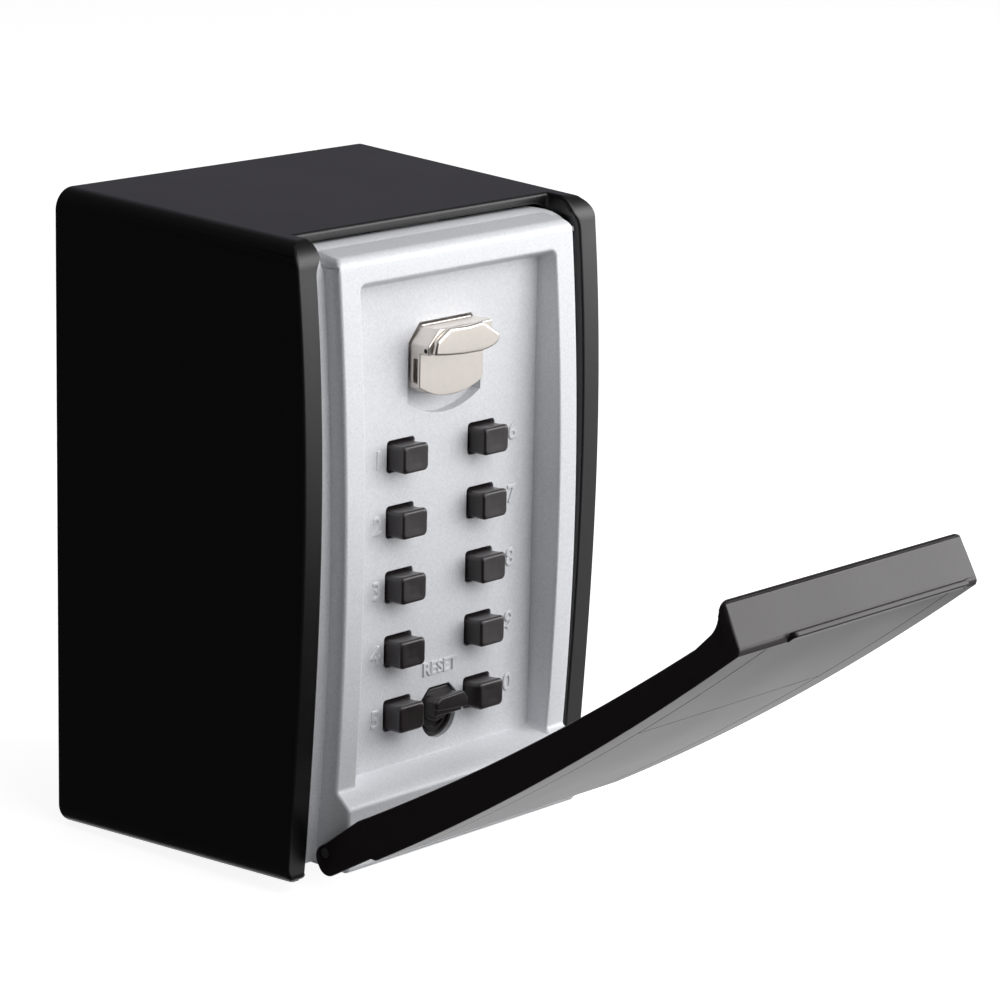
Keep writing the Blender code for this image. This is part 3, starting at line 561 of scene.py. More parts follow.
def housing_mesh():
    bm = bmesh.new()
    place = Matrix.Translation((0, -HOUSING_DEPTH / 2, HEIGHT / 2))
    place = place @ Matrix.Diagonal((2 * BACK_HALF_WIDTH, HOUSING_DEPTH, HEIGHT, 1))
    bmesh.ops.create_cube(bm, size=1.0, matrix=place)
    for vert in bm.verts:
        if vert.co.y < -1:
            vert.co.x *= FRONT_HALF_WIDTH / BACK_HALF_WIDTH
            vert.co.z += -TOP_DRAFT if vert.co.z > HEIGHT / 2 else BOTTOM_DRAFT
    long_edges = [e for e in bm.edges if abs(e.verts[0].co.y - e.verts[1].co.y) > 1]
    bmesh.ops.bevel(bm, geom=long_edges, offset=EDGE_RADIUS, segments=14, profile=0.5, affect="EDGES")
    back_edges = [e for e in bm.edges if all(v.co.y > -0.1 for v in e.verts)]
    bmesh.ops.bevel(
        bm, geom=back_edges, offset=BACK_EDGE_RADIUS, segments=3, profile=0.5, affect="EDGES"
    )
    housing = mesh_of(bm)

    toe = (cheek_front(CHEEK_TOE - 1.0) + CHEEK_TOE_RADIUS, CHEEK_TOE)
    top_corner = (cheek_front(CHEEK_CORNER) + CHEEK_CORNER_RADIUS, CHEEK_CORNER)
    side = [(5.0, -5.0), (-70.5, -5.0)]
    side += arc(toe, CHEEK_TOE_RADIUS, 255, 180, 10)
    side += [(cheek_front(z), z) for z in heights(10.0, CHEEK_CORNER - 1.5, 36)]
    side += arc(top_corner, CHEEK_CORNER_RADIUS, 178, 96, 14)
    side += [(-70.0, HEIGHT + 1.0), (5.0, HEIGHT + 5.0)]
    housing = common(housing, prism(side, ALONG_X, -FAR_SIDE, FAR_SIDE))

    low, high = (-POCKET_HALF_WIDTH, POCKET_BOTTOM), (POCKET_HALF_WIDTH, POCKET_TOP)
    pocket = rounded_outline(low, high, POCKET_RADIUS, POCKET_FOOT_RADIUS)
    housing = cut(housing, prism(pocket, ALONG_Y, FAR_FRONT, -BACK_THICKNESS))
    low, high = (-NOTCH_HALF_WIDTH, NOTCH_BOTTOM), (NOTCH_HALF_WIDTH, HEIGHT + 10.0)
    notch = rounded_outline(low, high, NOTCH_RADIUS, NOTCH_RADIUS, 3)
    housing = cut(housing, prism(notch, ALONG_Y, FAR_FRONT, HOOD_FRONT))
    low, high = (-POCKET_HALF_WIDTH, FAR_FRONT, -5.0), (POCKET_HALF_WIDTH, SILL_FRONT, SILL_TOP)
    housing = cut(housing, block(low, high))
    for side_sign in (-1, 1):
        centre = (side_sign * (POCKET_HALF_WIDTH + 1.0), *DOOR_AXIS)
        housing = cut(housing, rod("X", centre, HINGE_HOLE_RADIUS, HINGE_BORE_LENGTH))
        for z in WALL_HOLE_Z:
            centre = (side_sign * WALL_HOLE_X, -BACK_THICKNESS / 2, z)
            housing = cut(housing, rod("Y", centre, WALL_HOLE_RADIUS, 2 * BACK_THICKNESS))
    housing = cut(housing, rod("Y", HOOK_BORE, SCREW_BORE_RADIUS, HOOK_BORE_LENGTH, SCREW_BORE_SIDES))
    for centre in STRIKE_BORES:
        bore = rod("Z", centre, STRIKE_BORE_RADIUS, STRIKE_BORE_LENGTH, SCREW_BORE_SIDES)
        housing = cut(housing, bore)
    return soften(housing, HOUSING_SOFTENING, 4, 38, on_front_edges)


# Door


def recess_mesh():
    """The pan around the buttons, a little wider at its mouth than at its floor."""
    width, low, high = RECESS_FLOOR
    mouth_width, mouth_low, mouth_high = RECESS_MOUTH
    bm = bmesh.new()
    place = Matrix.Translation((0, (RECESS_REACH + FLOOR_FRONT) / 2, (low + high) / 2))
    place = place @ Matrix.Diagonal((2 * width, FLOOR_FRONT - RECESS_REACH, high - low, 1))
    bmesh.ops.create_cube(bm, size=1.0, matrix=place)
    flare = (FLOOR_FRONT - RECESS_REACH) / (FLOOR_FRONT - MOUTH_FACE)
    for vert in bm.verts:
        if vert.co.y < MOUTH_FACE:
            vert.co.x *= 1 + flare * (mouth_width / width - 1)
            vert.co.z += flare * (mouth_high - high if vert.co.z > low + 1 else mouth_low - low)
    corners = [e for e in bm.edges if abs(e.verts[0].co.y - e.verts[1].co.y) > 1]
    bmesh.ops.bevel(bm, geom=corners, offset=RECESS_CORNER, segments=8, profile=0.5, affect="EDGES")
    return mesh_of(bm)


def lever_pocket_outline(gap, steps=20):
    """The opening lever's bed: chamfered above, with a shallow arc below, drawn in by a gap."""
    left, right, low, high = LEVER_POCKET
    left, right, low, high = left + gap, right - gap, low + gap, high - gap
    middle, radius = (left + right) / 2, LEVER_POCKET_ARC
    spread = math.degrees(math.asin((right - left) / 2 / radius))
    bottom = arc((middle, low + radius), radius, 270 - spread, 270 + spread, steps)
    across, down = LEVER_POCKET_CHAMFER
    top = [(right, high - down), (right - across, high), (left + across, high), (left, high - down)]
    return bottom + top


def reset_pocket_outline(gap, bottom, steps=24):
    """The reset lever's bed: half round below, chamfered above, drawn in by a gap."""
    chamfer = RESET_POCKET_CHAMFER
    radius = RESET_POCKET_HALF_WIDTH - gap
    left, right = RESET_X - radius, RESET_X + radius
    top = RESET_POCKET[1] - gap
    points = arc((RESET_X, bottom + gap + radius), radius, 180, 360, steps)
    points += [(right, top - chamfer), (right - chamfer, top)]
    return points + [(left + chamfer, top), (left, top - chamfer)]


def on_plateau_top(x, y, z):
    """The two upper corners of the raised face."""
    return z > PLATEAU_TOP - 0.1


def on_pan_mouth(x, y, z):
    """The edge between the raised face and the pan's walls."""
    inside = abs(x) < PLATEAU_HALF_WIDTH - 3.0 and FOOT_TOP + 0.2 < z < PLATEAU_TOP - 4.0
    return inside and y < FLOOR_FRONT - 2.0


def on_pan_floor(x, y, z):
    """The edges of the holes in the pan's floor."""
    return abs(y - FLOOR_FRONT) < 0.1 and abs(x) < RECESS_FLOOR[0] - 1.0


def roll_centre():
    """The centre of the rolled edge along the flange's top."""
    z = DOOR_TOP - ROLL_RADIUS
    return door_front(z) + REBATE_DEPTH + ROLL_RADIUS, z


def flange_mesh():
    """The flange around the raised face, rolled over at its top and open behind the pan."""
    roll = roll_centre()
    side = [(FLANGE_REAR, FLANGE_START)]
    side += [(door_front(z) + REBATE_DEPTH, z) for z in heights(FLANGE_START, roll[1] - 1.0, 36)]
    side += arc(roll, ROLL_RADIUS, 180, 90, 18)
    under = DOOR_TOP - FLANGE_TOP_THICKNESS
    side += [(FLANGE_TOP_REAR, DOOR_TOP), (FLANGE_TOP_REAR, under), (FLANGE_REAR, under)]
    low, high = (-FLANGE_HALF_WIDTH, FLANGE_BOTTOM), (FLANGE_HALF_WIDTH, DOOR_TOP)
    outline = rounded_outline(low, high, POCKET_RADIUS, 1.0)
    flange = prism(side, ALONG_X, -FAR_SIDE, FAR_SIDE)
    flange = common(flange, prism(outline, ALONG_Y, FAR_FRONT, 0.0))
    width, bottom, top = RECESS_MOUTH
    low = (-width - FLANGE_MARGIN, FAR_FRONT, bottom - FLANGE_MARGIN)
    high = (width + FLANGE_MARGIN, 0.0, top + FLANGE_MARGIN)
    return cut(flange, block(low, high))


def pad(corners, rear):
    """A thicker stretch of the pan's floor, between two corners given as (x, height)."""
    (x0, z0), (x1, z1) = corners
    return block((x0, FLOOR_REAR - 0.5, z0), (x1, rear, z1))


def slot_cutter(x, slot, radius):
    """The slot that a lever's neck runs in."""
    half_width, low, high = slot
    front, rear = SLOT_REACH
    return block((x - half_width, front, low), (x + half_width, rear, high), radius)


def pan_holes():
    """The holes for the buttons and the beds of the two levers, as one cutter."""
    front, rear = FLOOR_CUTTER
    holes = []
    for _, x, z in button_places():
        low = (x - BUTTON_HOLE[0] / 2, front, z - BUTTON_HOLE[1] / 2)
        high = (x + BUTTON_HOLE[0] / 2, rear, z + BUTTON_HOLE[1] / 2)
        holes.append(block(low, high, BUTTON_HOLE_CORNER, segments=5))
    holes.append(prism(lever_pocket_outline(0), ALONG_Y, front, LEVER_POCKET_FLOOR))
    holes.append(prism(reset_pocket_outline(0, RESET_POCKET[0]), ALONG_Y, front, RESET_POCKET_FLOOR))
    return merged(holes)


def raised_face_mesh():
    """The bowed face with its foot, and the pan with everything that opens through its floor."""
    side = [(PLATEAU_REAR, FOOT_BOTTOM), (FOOT_FRONT + FOOT_CHAMFER, FOOT_BOTTOM)]
    side += [(FOOT_FRONT, FOOT_BOTTOM + FOOT_CHAMFER), (FOOT_FRONT, FOOT_TOP), SLOPE_END]
    side += [(door_front(z), z) for z in heights(PLATEAU_BOTTOM, PLATEAU_TOP, 36)]
    rim_rear, rim_bottom = PLATEAU_RIM
    side += [(rim_rear, DOOR_TOP - 0.4), PLATEAU_RIM, (PLATEAU_REAR, rim_bottom)]
    door = prism(side, ALONG_X, -PLATEAU_HALF_WIDTH, PLATEAU_HALF_WIDTH)
    door = soften(door, TOP_CORNER_RADIUS, 6, 60, on_plateau_top)
    door = soften(door, FACE_SOFTENING, 5)
    width, low, high = PAN_HOLLOW
    hollow = block((-width, FLOOR_REAR, low), (width, FLANGE_REAR + 3.0, high))
    door = cut(door, recess_mesh(), hollow)
    door = join(door, pad(LEVER_PAD, LEVER_PAD_REAR), pad(RESET_PAD, RESET_PAD_REAR))
    slots = slot_cutter(0, LEVER_SLOT, 0.8), slot_cutter(RESET_X, RESET_SLOT, RESET_SLOT_CORNER)
    door = cut(door, pan_holes(), *slots)
    for x in (-PLATEAU_HALF_WIDTH, PLATEAU_HALF_WIDTH):
        door = cut(door, rod("X", (x, *COVER_AXIS), COVER_HOLE_RADIUS, 8.0))
    door = soften(door, MOUTH_SOFTENING, 4, where=on_pan_mouth)
    return soften(door, FLOOR_SOFTENING, 3, 40, on_pan_floor)


def door_face_mesh():
    """The flange that the cover's rim meets and the raised face, which stay two shells."""
    return merged([flange_mesh(), raised_face_mesh()])


def screw_post(x, z, rear, radius, bore_radius, bore_depth):
    """A post from the pan's floor back to a plate, bored for its screw from behind."""
    post = rod("Y", (x, (rear + FLOOR_REAR) / 2, z), radius, rear - FLOOR_REAR)
    length = bore_depth + 4.0
    bore = rod("Y", (x, rear - bore_depth + length / 2, z), bore_radius, length, SCREW_BORE_SIDES)
    return cut(post, bore)


def door_case_mesh():
    """The shallow case behind the face, with its hinge barrel and screw posts."""
    low = (-CASE_HALF_WIDTH, FLOOR_REAR - 0.5, CASE_HEIGHTS[0])
    high = (CASE_HALF_WIDTH, CASE_REAR, CASE_HEIGHTS[1])
    case = block(low, high, CASE_CORNER)
    low = (-CASE_HALF_WIDTH + CASE_WALL, FLOOR_REAR - 1.0, CASE_HEIGHTS[0] + CASE_WALL)
    high = (CASE_HALF_WIDTH - CASE_WALL, CASE_REAR + 5.0, CASE_HEIGHTS[1] - CASE_WALL)
    case = cut(case, block(low, high, CASE_CORNER / 2), block(*LATCH_OPENING))
    case = join(case, rod("X", (0, *DOOR_AXIS), BARREL_RADIUS, 2 * BARREL_HALF_LENGTH))
    low = (-BARREL_HALF_LENGTH, WEB_FACES[0], WEB_HEIGHTS[0])
    high = (BARREL_HALF_LENGTH, WEB_FACES[1], WEB_HEIGHTS[1])
    case = join(case, block(low, high))
    case = cut(case, rod("X", (0, *DOOR_AXIS), HINGE_HOLE_RADIUS, 2 * FAR_SIDE))
    case = soften(case, CASE_SOFTENING, 3, 40)
    posts = [screw_post(*place, CASE_REAR, *BACK_POST) for place in BACK_SCREWS]
    rear = CARRIER_FRONT - CARRIER_GAP
    posts += [screw_post(*place, rear, *CARRIER_POST) for place in CARRIER_SCREWS]
    return merged([case, *posts, block(*SPRING_SEAT)])


def digit_mesh(text, size):
    """Raised lettering on the pan's floor, centred on the origin."""
    curve = bpy.data.curves.new("text", "FONT")
    curve.body = text
    curve.size = size
    curve.align_x = "CENTER"
    curve.align_y = "CENTER"
    curve.extrude = DIGIT_RELIEF
    curve.bevel_depth = DIGIT_ROUNDING
    curve.bevel_resolution = 2
    mesh = shown_mesh(bpy.data.objects.new("text", curve))
    mesh.transform(Matrix.Rotation(math.pi / 2, 4, "X"))
    return mesh


def make_door():
    piece("door_face", door_face_mesh(), "door_silver", "door", "door_front")
    piece("door_case", door_case_mesh(), "door_silver", "door", "door_front")
    for digit, x, z in button_places():
        mesh = moved(digit_mesh(digit, DIGIT_SIZE), DIGIT_X[x > 0], FLOOR_FRONT, z - DIGIT_DROP)
        piece(f"digit_{digit}", mesh, "door_silver", "door")
    word = moved(digit_mesh("RESET", WORD_SIZE), RESET_X, FLOOR_FRONT, WORD_HEIGHT)
    piece("reset_word", word, "door_silver", "door")


# Buttons


def ring(bm, half_width, half_height, radius, y, scoop=0.0, steps=5):
    """A rounded rectangle of points facing -Y, with its upper edge lowered by a scoop."""
    low, high = (-half_width, -half_height), (half_width, half_height)
    points = rounded_outline(low, high, radius, radius, steps)
    return [bm.verts.new((x, y, z - (scoop if z > 0 else 0))) for x, z in points]


def bridge(bm, first, second):
    for i, corner in enumerate(first):
        after = (i + 1) % len(first)
        bm.faces.new((corner, first[after], second[after], second[i]))


def button_mesh():
    """A cap with a soft front edge, dished a little on its face and on top."""
    half_width, half_height = (size / 2 for size in BUTTON_SIZE)
    root, flange_rear = BUTTON_FLANGE_FACES
    side_depth = root - BUTTON_FACE - BUTTON_EDGE
    bm = bmesh.new()
    rings = [ring(bm, half_width, half_height, BUTTON_CORNER, root + 0.3)]
    for share in (0.0, BUTTON_SCOOP_START, 0.4, 0.55, 0.7, 0.85):
        along_scoop = max(0.0, (share - BUTTON_SCOOP_START) / (1 - BUTTON_SCOOP_START))
        scoop = BUTTON_SCOOP * math.sin(math.pi * along_scoop)
        rings.append(ring(bm, half_width, half_height, BUTTON_CORNER, root - share * side_depth, scoop))
    for degrees in (0, 18, 36, 54, 72, 90):
        turn = math.radians(degrees)
        draw_in = BUTTON_EDGE * (1 - math.cos(turn))
        y = BUTTON_FACE + BUTTON_EDGE * (1 - math.sin(turn))
        rings.append(ring(bm, half_width - draw_in, half_height - draw_in, BUTTON_CORNER, y))
    for share, dish in BUTTON_DISH:
        width, height = half_width - BUTTON_EDGE, half_height - BUTTON_EDGE
        rings.append(ring(bm, width * share, height * share, BUTTON_CORNER * share, BUTTON_FACE + dish))
    for first, second in zip(rings, rings[1:]):
        bridge(bm, first, second)
    bm.faces.new(rings[0])
    bm.faces.new(rings[-1])
    cap = mesh_of(bm)
    half_width, half_height = (size / 2 for size in BUTTON_FLANGE)
    flange = block((-half_width, root, -half_height), (half_width, flange_rear, half_height))
    length = STEM_END - flange_rear + 0.5
    stem = rod("Y", (0, STEM_END - length / 2, 0), STEM_RADIUS, length, 28)
    return merged([cap, soften(flange, 0.2, 2), soften(stem, 0.2, 2, 60)])


def make_buttons():
    shape = button_mesh()
    for digit, x, z in button_places():
        name = f"button_{digit}"
        piece(f"button_cap_{digit}", moved(shape.copy(), x, 0, z), "button_black", name, name, sharp=50)


# Springs


def coil_mesh(radius, wire, length, turns):
    """A compression spring up from the origin along +Z."""
    curve = bpy.data.curves.new("coil", "CURVE")
    curve.dimensions = "3D"
    curve.bevel_depth = wire
    curve.bevel_resolution = 3
    curve.use_fill_caps = True
    spline = curve.splines.new("POLY")
    count = 24 * turns
    spline.points.add(count)
    for i, point in enumerate(spline.points):
        angle = 2 * math.pi * turns * i / count
        rise = wire + (length - 2 * wire) * i / count
        point.co = (radius * math.cos(angle), radius * math.sin(angle), rise, 1.0)
    return shown_mesh(bpy.data.objects.new("coil", curve))


def make_springs():
    start, end = BUTTON_FLANGE_FACES[1] + SPRING_GAP, CARRIER_FRONT - SPRING_GAP
    shape = coil_mesh(radius=2.5, wire=0.25, length=end - start, turns=3)
    shape.transform(Matrix.Rotation(-math.pi / 2, 4, "X"))
    for digit, x, z in button_places():
        name, node = f"button_coil_{digit}", f"button_spring_{digit}"
        mesh = moved(shape.copy(), x, start, z)
        spring = piece(name, mesh, "spring_steel", "door", node, sharp=80)
        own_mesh(spring)
    coil = coil_mesh(radius=1.5, wire=0.3, length=LEVER_SPRING_LENGTH, turns=6)
    mesh = moved(coil, *LEVER_SPRING_FOOT)
    spring = piece("lever_coil", mesh, "spring_steel", "door", "lever_spring", sharp=80)
    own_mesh(spring)
    coil = coil_mesh(radius=1.2, wire=0.25, length=RESET_SPRING_LENGTH, turns=5)
    mesh = moved(coil, *RESET_SPRING_FOOT)
    spring = piece("reset_coil", mesh, "spring_steel", "door", "reset_spring", sharp=80)
    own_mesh(spring)


# Levers


def plate(outline, front, rear, softening):
    """A flat outline seen from the front, with thickness and soft edges."""
    return soften(prism(outline, ALONG_Y, front, rear), softening, 3)


def lever_bed():
    """The plate that slides in the lever's pocket, short of its lower end by the lever's travel."""
    outline = lever_pocket_outline(LEVER_BED_GAP)
    middle = (LEVER_POCKET[2] + LEVER_POCKET[3]) / 2
    outline = [(x, z + (LEVER_TRAVEL + 0.6 if z < middle else 0)) for x, z in outline]
    return plate(outline, -75.6, LEVER_POCKET_FLOOR - 0.35, 0.2)


def lever_body():
    """The block on the bed, with an arc below, a corner cut off above and a slot in its side."""
    left, right = LEVER_SIDES
    spread = [math.degrees(math.asin(x / LEVER_POCKET_ARC)) for x in (left, right)]
    outline = arc((0, 133.2), LEVER_POCKET_ARC, 270 + spread[0], 270 + spread[1], 20)
    outline += [(right, LEVER_TOP), (left + 3.6, LEVER_TOP), (left, LEVER_SHOULDER)]
    slot = block((left - 1.0, -77.6, 115.3), (left + 3.0, -76.5, 120.9))
    return soften(cut(prism(outline, ALONG_Y, -78.5, -75.4), slot), 0.3, 3)


def lever_head():
    """The upper block that carries the thumb tab, with a small hole in its side."""
    left, right = LEVER_SIDES
    outline = [(left, 122.2), (right, 122.2), (right, LEVER_TOP)]
    outline += [(left + 3.6, LEVER_TOP), (left, LEVER_SHOULDER)]
    return cut(plate(outline, -81.2, -78.0, 0.35), rod("X", (left, -80.3, 123.2), 0.55, 2.0, 20))


def lever_wing():
    """The thumb tab: bowed below, rounded at its right end."""
    outline = [(-10.5, 122.4), (-6.0, 121.8), (-0.6, 121.35), (5.5, 121.2), (9.0, 121.8), (10.9, 122.7)]
    outline += arc((9.9, 123.9), 1.5, -20, 70, 6)
    outline += [(5.6, 128.3), (0.7, 127.9), (-5.3, 128.1), (-9.6, 125.5)]
    return soften(prism(outline, ALONG_Y, -82.7, -80.9), 0.7, 5)


def make_lever():
    neck = soften(block((-2.5, -75.0, 117.9), (2.5, -67.7, 124.1)), 0.2)
    piece("lever_bed", lever_bed(), "lever_nickel", "lever", "lever")
    piece("lever_body", lever_body(), "lever_nickel", "lever")
    piece("lever_head", lever_head(), "lever_nickel", "lever")
    piece("lever_wing", lever_wing(), "lever_nickel", "lever")
    piece("lever_neck", neck, "lever_nickel", "lever")


def reset_thumb():
    """The reset lever: bed, body and thumb tab in front, neck and keeper behind."""
    bed = plate(reset_pocket_outline(0.5, RESET_POCKET[0] + 3.6), -75.0, -74.1, 0.2)
    body = [(-4.4, 34.3), (4.6, 34.3), (4.6, 38.6), (-3.2, 38.6), (-4.4, 37.6)]
    body = plate(body, -79.0, -74.5, 0.3)
    tab = [(-4.8, 36.0), (5.4, 35.2), (6.0, 37.0), (4.4, 39.2), (-3.4, 38.9), (-4.8, 37.9)]
    tab = plate(tab, -80.0, -78.5, 0.35)
    neck = block((RESET_X - 1.5, -74.0, 36.0), (RESET_X + 1.5, -69.9, 38.4))
    keeper = block((RESET_X - 4.5, -70.4, 31.0), (RESET_X + 4.5, -67.9, 40.5))
    return merged([bed, body, tab, soften(neck, 0.2), soften(keeper, 0.2)])


def reset_cup():
    """The dark dish under the reset lever, with two ring grooves and the neck's slot."""
    outline = reset_pocket_outline(CUP_GAP, RESET_POCKET[0])
    cup = prism(outline, ALONG_Y, CUP_FACE, RESET_POCKET_FLOOR - CUP_GAP)
    centre = (RESET_X, CUP_FACE - 0.1, RESET_POCKET[0] + RESET_POCKET_HALF_WIDTH)
    for outer, inner in CUP_RINGS:
        groove = cut(rod("Y", centre, outer, 1.6, 48), rod("Y", centre, inner, 3.0, 48))
        cup = cut(cup, groove)
    return cut(cup, slot_cutter(RESET_X, RESET_SLOT, RESET_SLOT_CORNER))


def make_reset_lever():
    piece("reset_thumb", reset_thumb(), "button_black", "reset", "reset_lever")
    piece("reset_cup", reset_cup(), "button_black", "door")


# Cover


def follow_face(low, high, outward, inward, count=24):
    """A thin side profile that follows the cover's outer face."""
    outer = [(cover_face(z) - outward, z) for z in heights(low, high, count)]
    inner = [(cover_face(z) + inward, z) for z in heights(high, low, count)]
    return outer + inner


def panel_lines():
    """Cutters for the thin lines on the cover's face: one up each side and one across."""
    profile = follow_face(COVER_STEP + 4.0, COVER_TOP - 0.4, 1.0, GROOVE_DEPTH)
    half = GROOVE_WIDTH / 2
    lines = [prism(profile, ALONG_X, x - half, x + half) for x in (-PANEL_HALF_WIDTH, PANEL_HALF_WIDTH)]
    profile = follow_face(PANEL_LINE, PANEL_LINE + GROOVE_WIDTH, 1.0, GROOVE_DEPTH, 2)
    return lines + [prism(profile, ALONG_X, -PANEL_HALF_WIDTH, PANEL_HALF_WIDTH)]


def off_grooves(x, y, z):
    """Away from the panel lines and from the hinge pins' holes."""
    across = abs(x) < PANEL_HALF_WIDTH and abs(z - PANEL_LINE) < 2 * GROOVE_WIDTH
    in_hole = math.hypot(y - COVER_AXIS[0], z - COVER_AXIS[1]) < COVER_HOLE_RADIUS + 0.1
    return abs(abs(x) - PANEL_HALF_WIDTH) > GROOVE_WIDTH and not across and not in_hole


def cover_block():
    """The cover before it is hollowed: face, lip, the hollow for the door's roll, rim and arms."""
    outline = [(cover_face(z), z) for z in heights(COVER_STEP, COVER_TOP, 36)]
    outline += [(-81.6, 149.85), (-80.6, 150.1), (-71.0, 150.8), (-70.4, 150.6)]
    outline += arc(roll_centre(), ROLL_RADIUS + COVER_GAP, 100, 172, 16)
    outline += [(cover_rim(z), z) for z in heights(139.0, 24.0, 30)]
    outline += [(-77.8, 12.0)]
    outline += arc((-80.9, 9.4), COVER_ARM_RADIUS, 0, -90, 10)
    outline += arc((-82.2, 9.4), COVER_ARM_RADIUS, -90, -170, 10)
    outline += [(-85.5, 16.0), (-85.75, COVER_STEP - 1.2)]
    return prism(outline, ALONG_X, -COVER_HALF_WIDTH, COVER_HALF_WIDTH)


def cover_inside():
    """The space between the side walls, open to the door and below the skin's lower edge."""
    outline = [(cover_face(z) + COVER_SKIN, z) for z in heights(COVER_STEP + 3.0, COVER_TOP - 1.4, 36)]
    outline += [(-82.0, 148.2), (-80.6, 148.45), (-68.0, 149.4), (-60.0, 149.4)]
    outline += [(-60.0, -5.0), (FAR_FRONT, -5.0), (FAR_FRONT, COVER_STEP), (-85.2, COVER_STEP)]
    reach = COVER_HALF_WIDTH - COVER_WALL
    return prism(outline, ALONG_X, -reach, reach)


def cover_mesh():
    """A bowed skin with a returned lip at its free end and two side walls that become hinge arms."""
    cover = cut(cover_block(), cover_inside())
    low, high = (-COVER_HALF_WIDTH, -5.0), (COVER_HALF_WIDTH, COVER_TOP + 2.2)
    outline = rounded_outline(low, high, COVER_FREE_CORNER, 0.5, 8)
    front_corners = prism(outline, ALONG_Y, FAR_FRONT, 0.0)
    low = (-COVER_HALF_WIDTH, FAR_FRONT, -10.0)
    high = (COVER_HALF_WIDTH, COVER_LIP_REAR, HEIGHT + 5.0)
    lip_corners = block(low, high, COVER_LIP_CORNER, along=2, segments=8)
    cover = common(cover, front_corners, lip_corners)
    ledge = rounded_outline(*COVER_LEDGE, 1.2, 0.3, 6)
    cover = join(cover, prism(ledge, ALONG_Y, *LEDGE_FACES))
    cover = cut(cover, *panel_lines(), rod("X", (0, *COVER_AXIS), COVER_HOLE_RADIUS, 2 * FAR_SIDE))
    cover = soften(cover, COVER_SOFTENING, 3, 32, off_grooves)
    open_turn = Matrix.Translation((0, *COVER_AXIS)) @ Matrix.Rotation(COVER_OPEN, 4, "X")
    cover.transform(open_turn @ Matrix.Translation((0, -COVER_AXIS[0], -COVER_AXIS[1])))
    return cover


# CAD pieces that keep their shape


def dress_cad_nodes():
    """Gives each CAD piece that stays in view its finish and soft edges."""
    slots = {row["node"]: row["material_slot"] for row in frame["record"]["subparts"]}
    for name, node in frame["nodes"].items():
        if node.hide_render:
            continue
        slot = slots[name]
        node.data.materials.clear()
        node.data.materials.append(finishes[slot])
        edge = node.modifiers.new("Soft edges", "BEVEL")
        edge.width = CAD_EDGE * MM
        edge.segments = 2
        edge.limit_method = "ANGLE"
        edge.angle_limit = math.radians(CAD_EDGE_ANGLE)
        edge.use_clamp_overlap = True
        even = node.modifiers.new("Even shading", "WEIGHTED_NORMAL")
        even.keep_sharp = True


# Studio


def facing(place, target):
    """The turn that points an object's -Z from a place to a target."""
    return (Vector(target) - Vector(place)).to_track_quat("-Z", "Y").to_euler()


def add_area(name, place, target, size, power, colour=(1, 1, 1)):
    """A rectangular lamp, with its size in metres and its power in watts."""
    lamp = bpy.data.lights.new(name, "AREA")
    lamp.shape = "RECTANGLE"
    lamp.size, lamp.size_y = size
    lamp.energy = power
    lamp.color = colour
    obj = bpy.data.objects.new(name, lamp)
    obj.location = place
    obj.rotation_euler = facing(place, target)
    bpy.context.scene.collection.objects.link(obj)


def add_card(name, place, target, size, glow):
    """A plain glowing card that shows only in reflections."""
    bm = bmesh.new()
    bmesh.ops.create_grid(bm, x_segments=1, y_segments=1, size=size / 2)
    card = bpy.data.objects.new(name, mesh_of(bm))
    card.location = place
    card.rotation_euler = facing(place, target)
    bpy.context.scene.collection.objects.link(card)
    paper = bpy.data.materials.new(name)
    paper.use_nodes = True
    shader = paper.node_tree.nodes["Principled BSDF"]
    shader.inputs["Base Color"].default_value = (0, 0, 0, 1)
    shader.inputs["Emission Color"].default_value = (1, 1, 1, 1)
    shader.inputs["Emission Strength"].default_value = glow
    card.data.materials.append(paper)
    card.visible_camera = False
    card.visible_diffuse = False
    card.visible_shadow = False


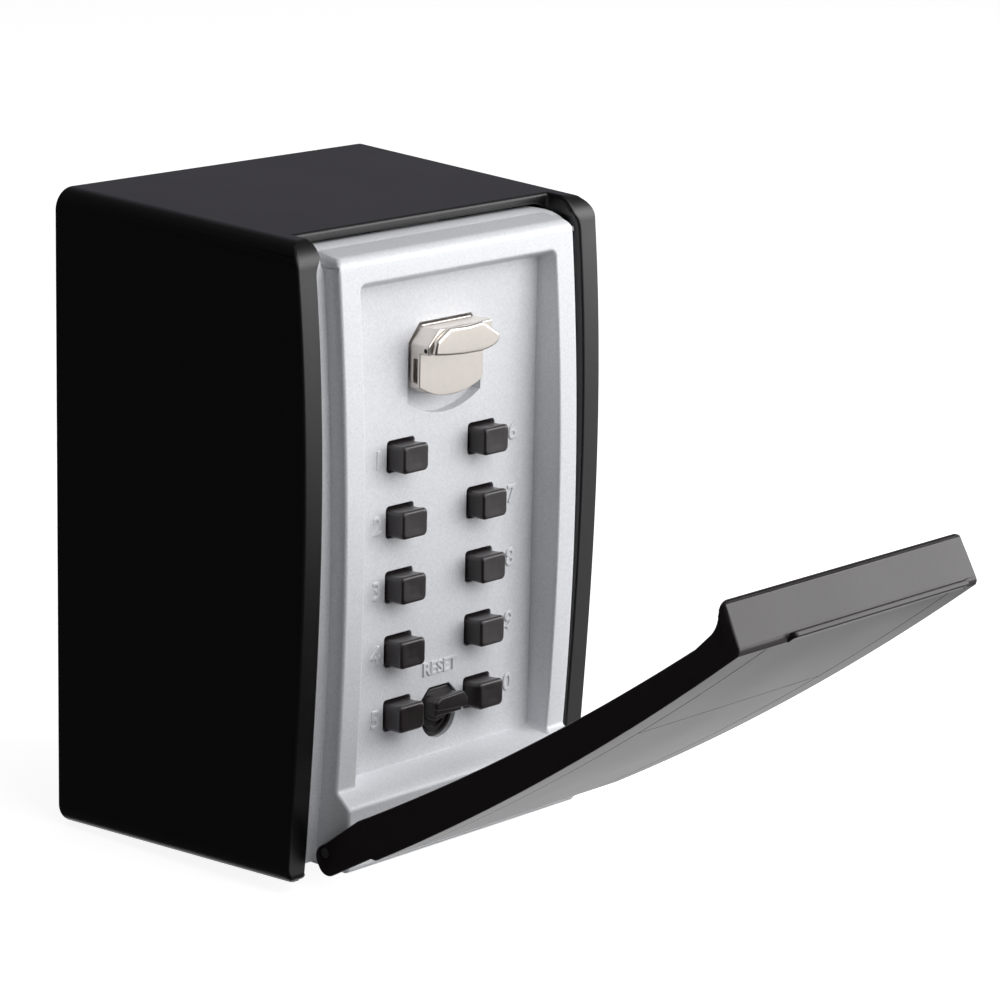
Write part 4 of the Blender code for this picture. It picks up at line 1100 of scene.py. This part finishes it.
def make_floor():
    bm = bmesh.new()
    bmesh.ops.create_grid(bm, x_segments=1, y_segments=1, size=FLOOR_SIZE)
    floor = bpy.data.objects.new("floor", mesh_of(bm))
    floor.location.z = FLOOR_HEIGHT
    bpy.context.scene.collection.objects.link(floor)
    pale = bpy.data.materials.new("floor_pale")
    pale.use_nodes = True
    tree = pale.node_tree
    shader = tree.nodes["Principled BSDF"]
    shader.inputs["Base Color"].default_value = (FLOOR_GREY, FLOOR_GREY, FLOOR_GREY, 1.0)
    shader.inputs["Roughness"].default_value = 0.9
    shader.inputs["Emission Color"].default_value = (1, 1, 1, 1)
    path = tree.nodes.new("ShaderNodeLightPath")
    glow = ramped(tree, path.outputs["Is Camera Ray"], *FLOOR_GLOW)
    tree.links.new(glow, shader.inputs["Emission Strength"])
    floor.data.materials.append(pale)
    floor.visible_glossy = False


def make_world():
    """White behind the object, and a dim room for everything that isn't seen directly."""
    world = bpy.data.worlds.new("studio")
    world.use_nodes = True
    tree = world.node_tree
    background = tree.nodes["Background"]
    background.inputs["Color"].default_value = (1, 1, 1, 1)
    path = tree.nodes.new("ShaderNodeLightPath")
    strength = ramped(tree, path.outputs["Is Camera Ray"], *WORLD_STRENGTH)
    tree.links.new(strength, background.inputs["Strength"])
    bpy.context.scene.world = world


def make_studio():
    make_floor()
    make_world()
    add_area("key", (0.62, -1.2, 0.45), MIDDLE, size=(1.4, 1.0), power=10.5)
    add_area("front", (0.15, -1.05, 1.25), MIDDLE, size=(1.6, 1.0), power=11)
    add_area("side", (1.1, -0.6, 0.3), (0, -0.08, -0.05), size=(0.8, 0.7), power=6)
    add_area("top", (0.1, -0.15, 1.3), MIDDLE, size=(1.2, 1.2), power=1.0)
    cool = (0.91, 0.87, 1.0)
    add_area("back_right", (0.85, 0.75, 0.35), MIDDLE, size=(1.2, 0.9), power=0.75, colour=cool)
    add_card("under_right", (0.38, 0.26, -0.24), (0, -0.14, -0.03), size=0.6, glow=1.3)
    add_card("low_right", (0.95, -1.0, -0.35), MIDDLE, size=1.3, glow=0.68)
    camera = bpy.data.objects.new("camera", bpy.data.cameras.new("camera"))
    camera.location = CAMERA_PLACE
    camera.rotation_euler = [math.radians(angle) for angle in CAMERA_TURN]
    camera.data.lens = CAMERA_LENS
    camera.data.sensor_width = CAMERA_SENSOR
    bpy.context.scene.collection.objects.link(camera)
    bpy.context.scene.camera = camera
    bpy.context.scene.view_settings.view_transform = "Standard"


finishes = make_finishes()
piece("housing_shell", housing_mesh(), "housing_black", "housing", "housing")
make_door()
make_buttons()
make_springs()
make_lever()
make_reset_lever()
piece("cover_shell", cover_mesh(), "cover_black", "cover", "cover")
dress_cad_nodes()
make_studio()
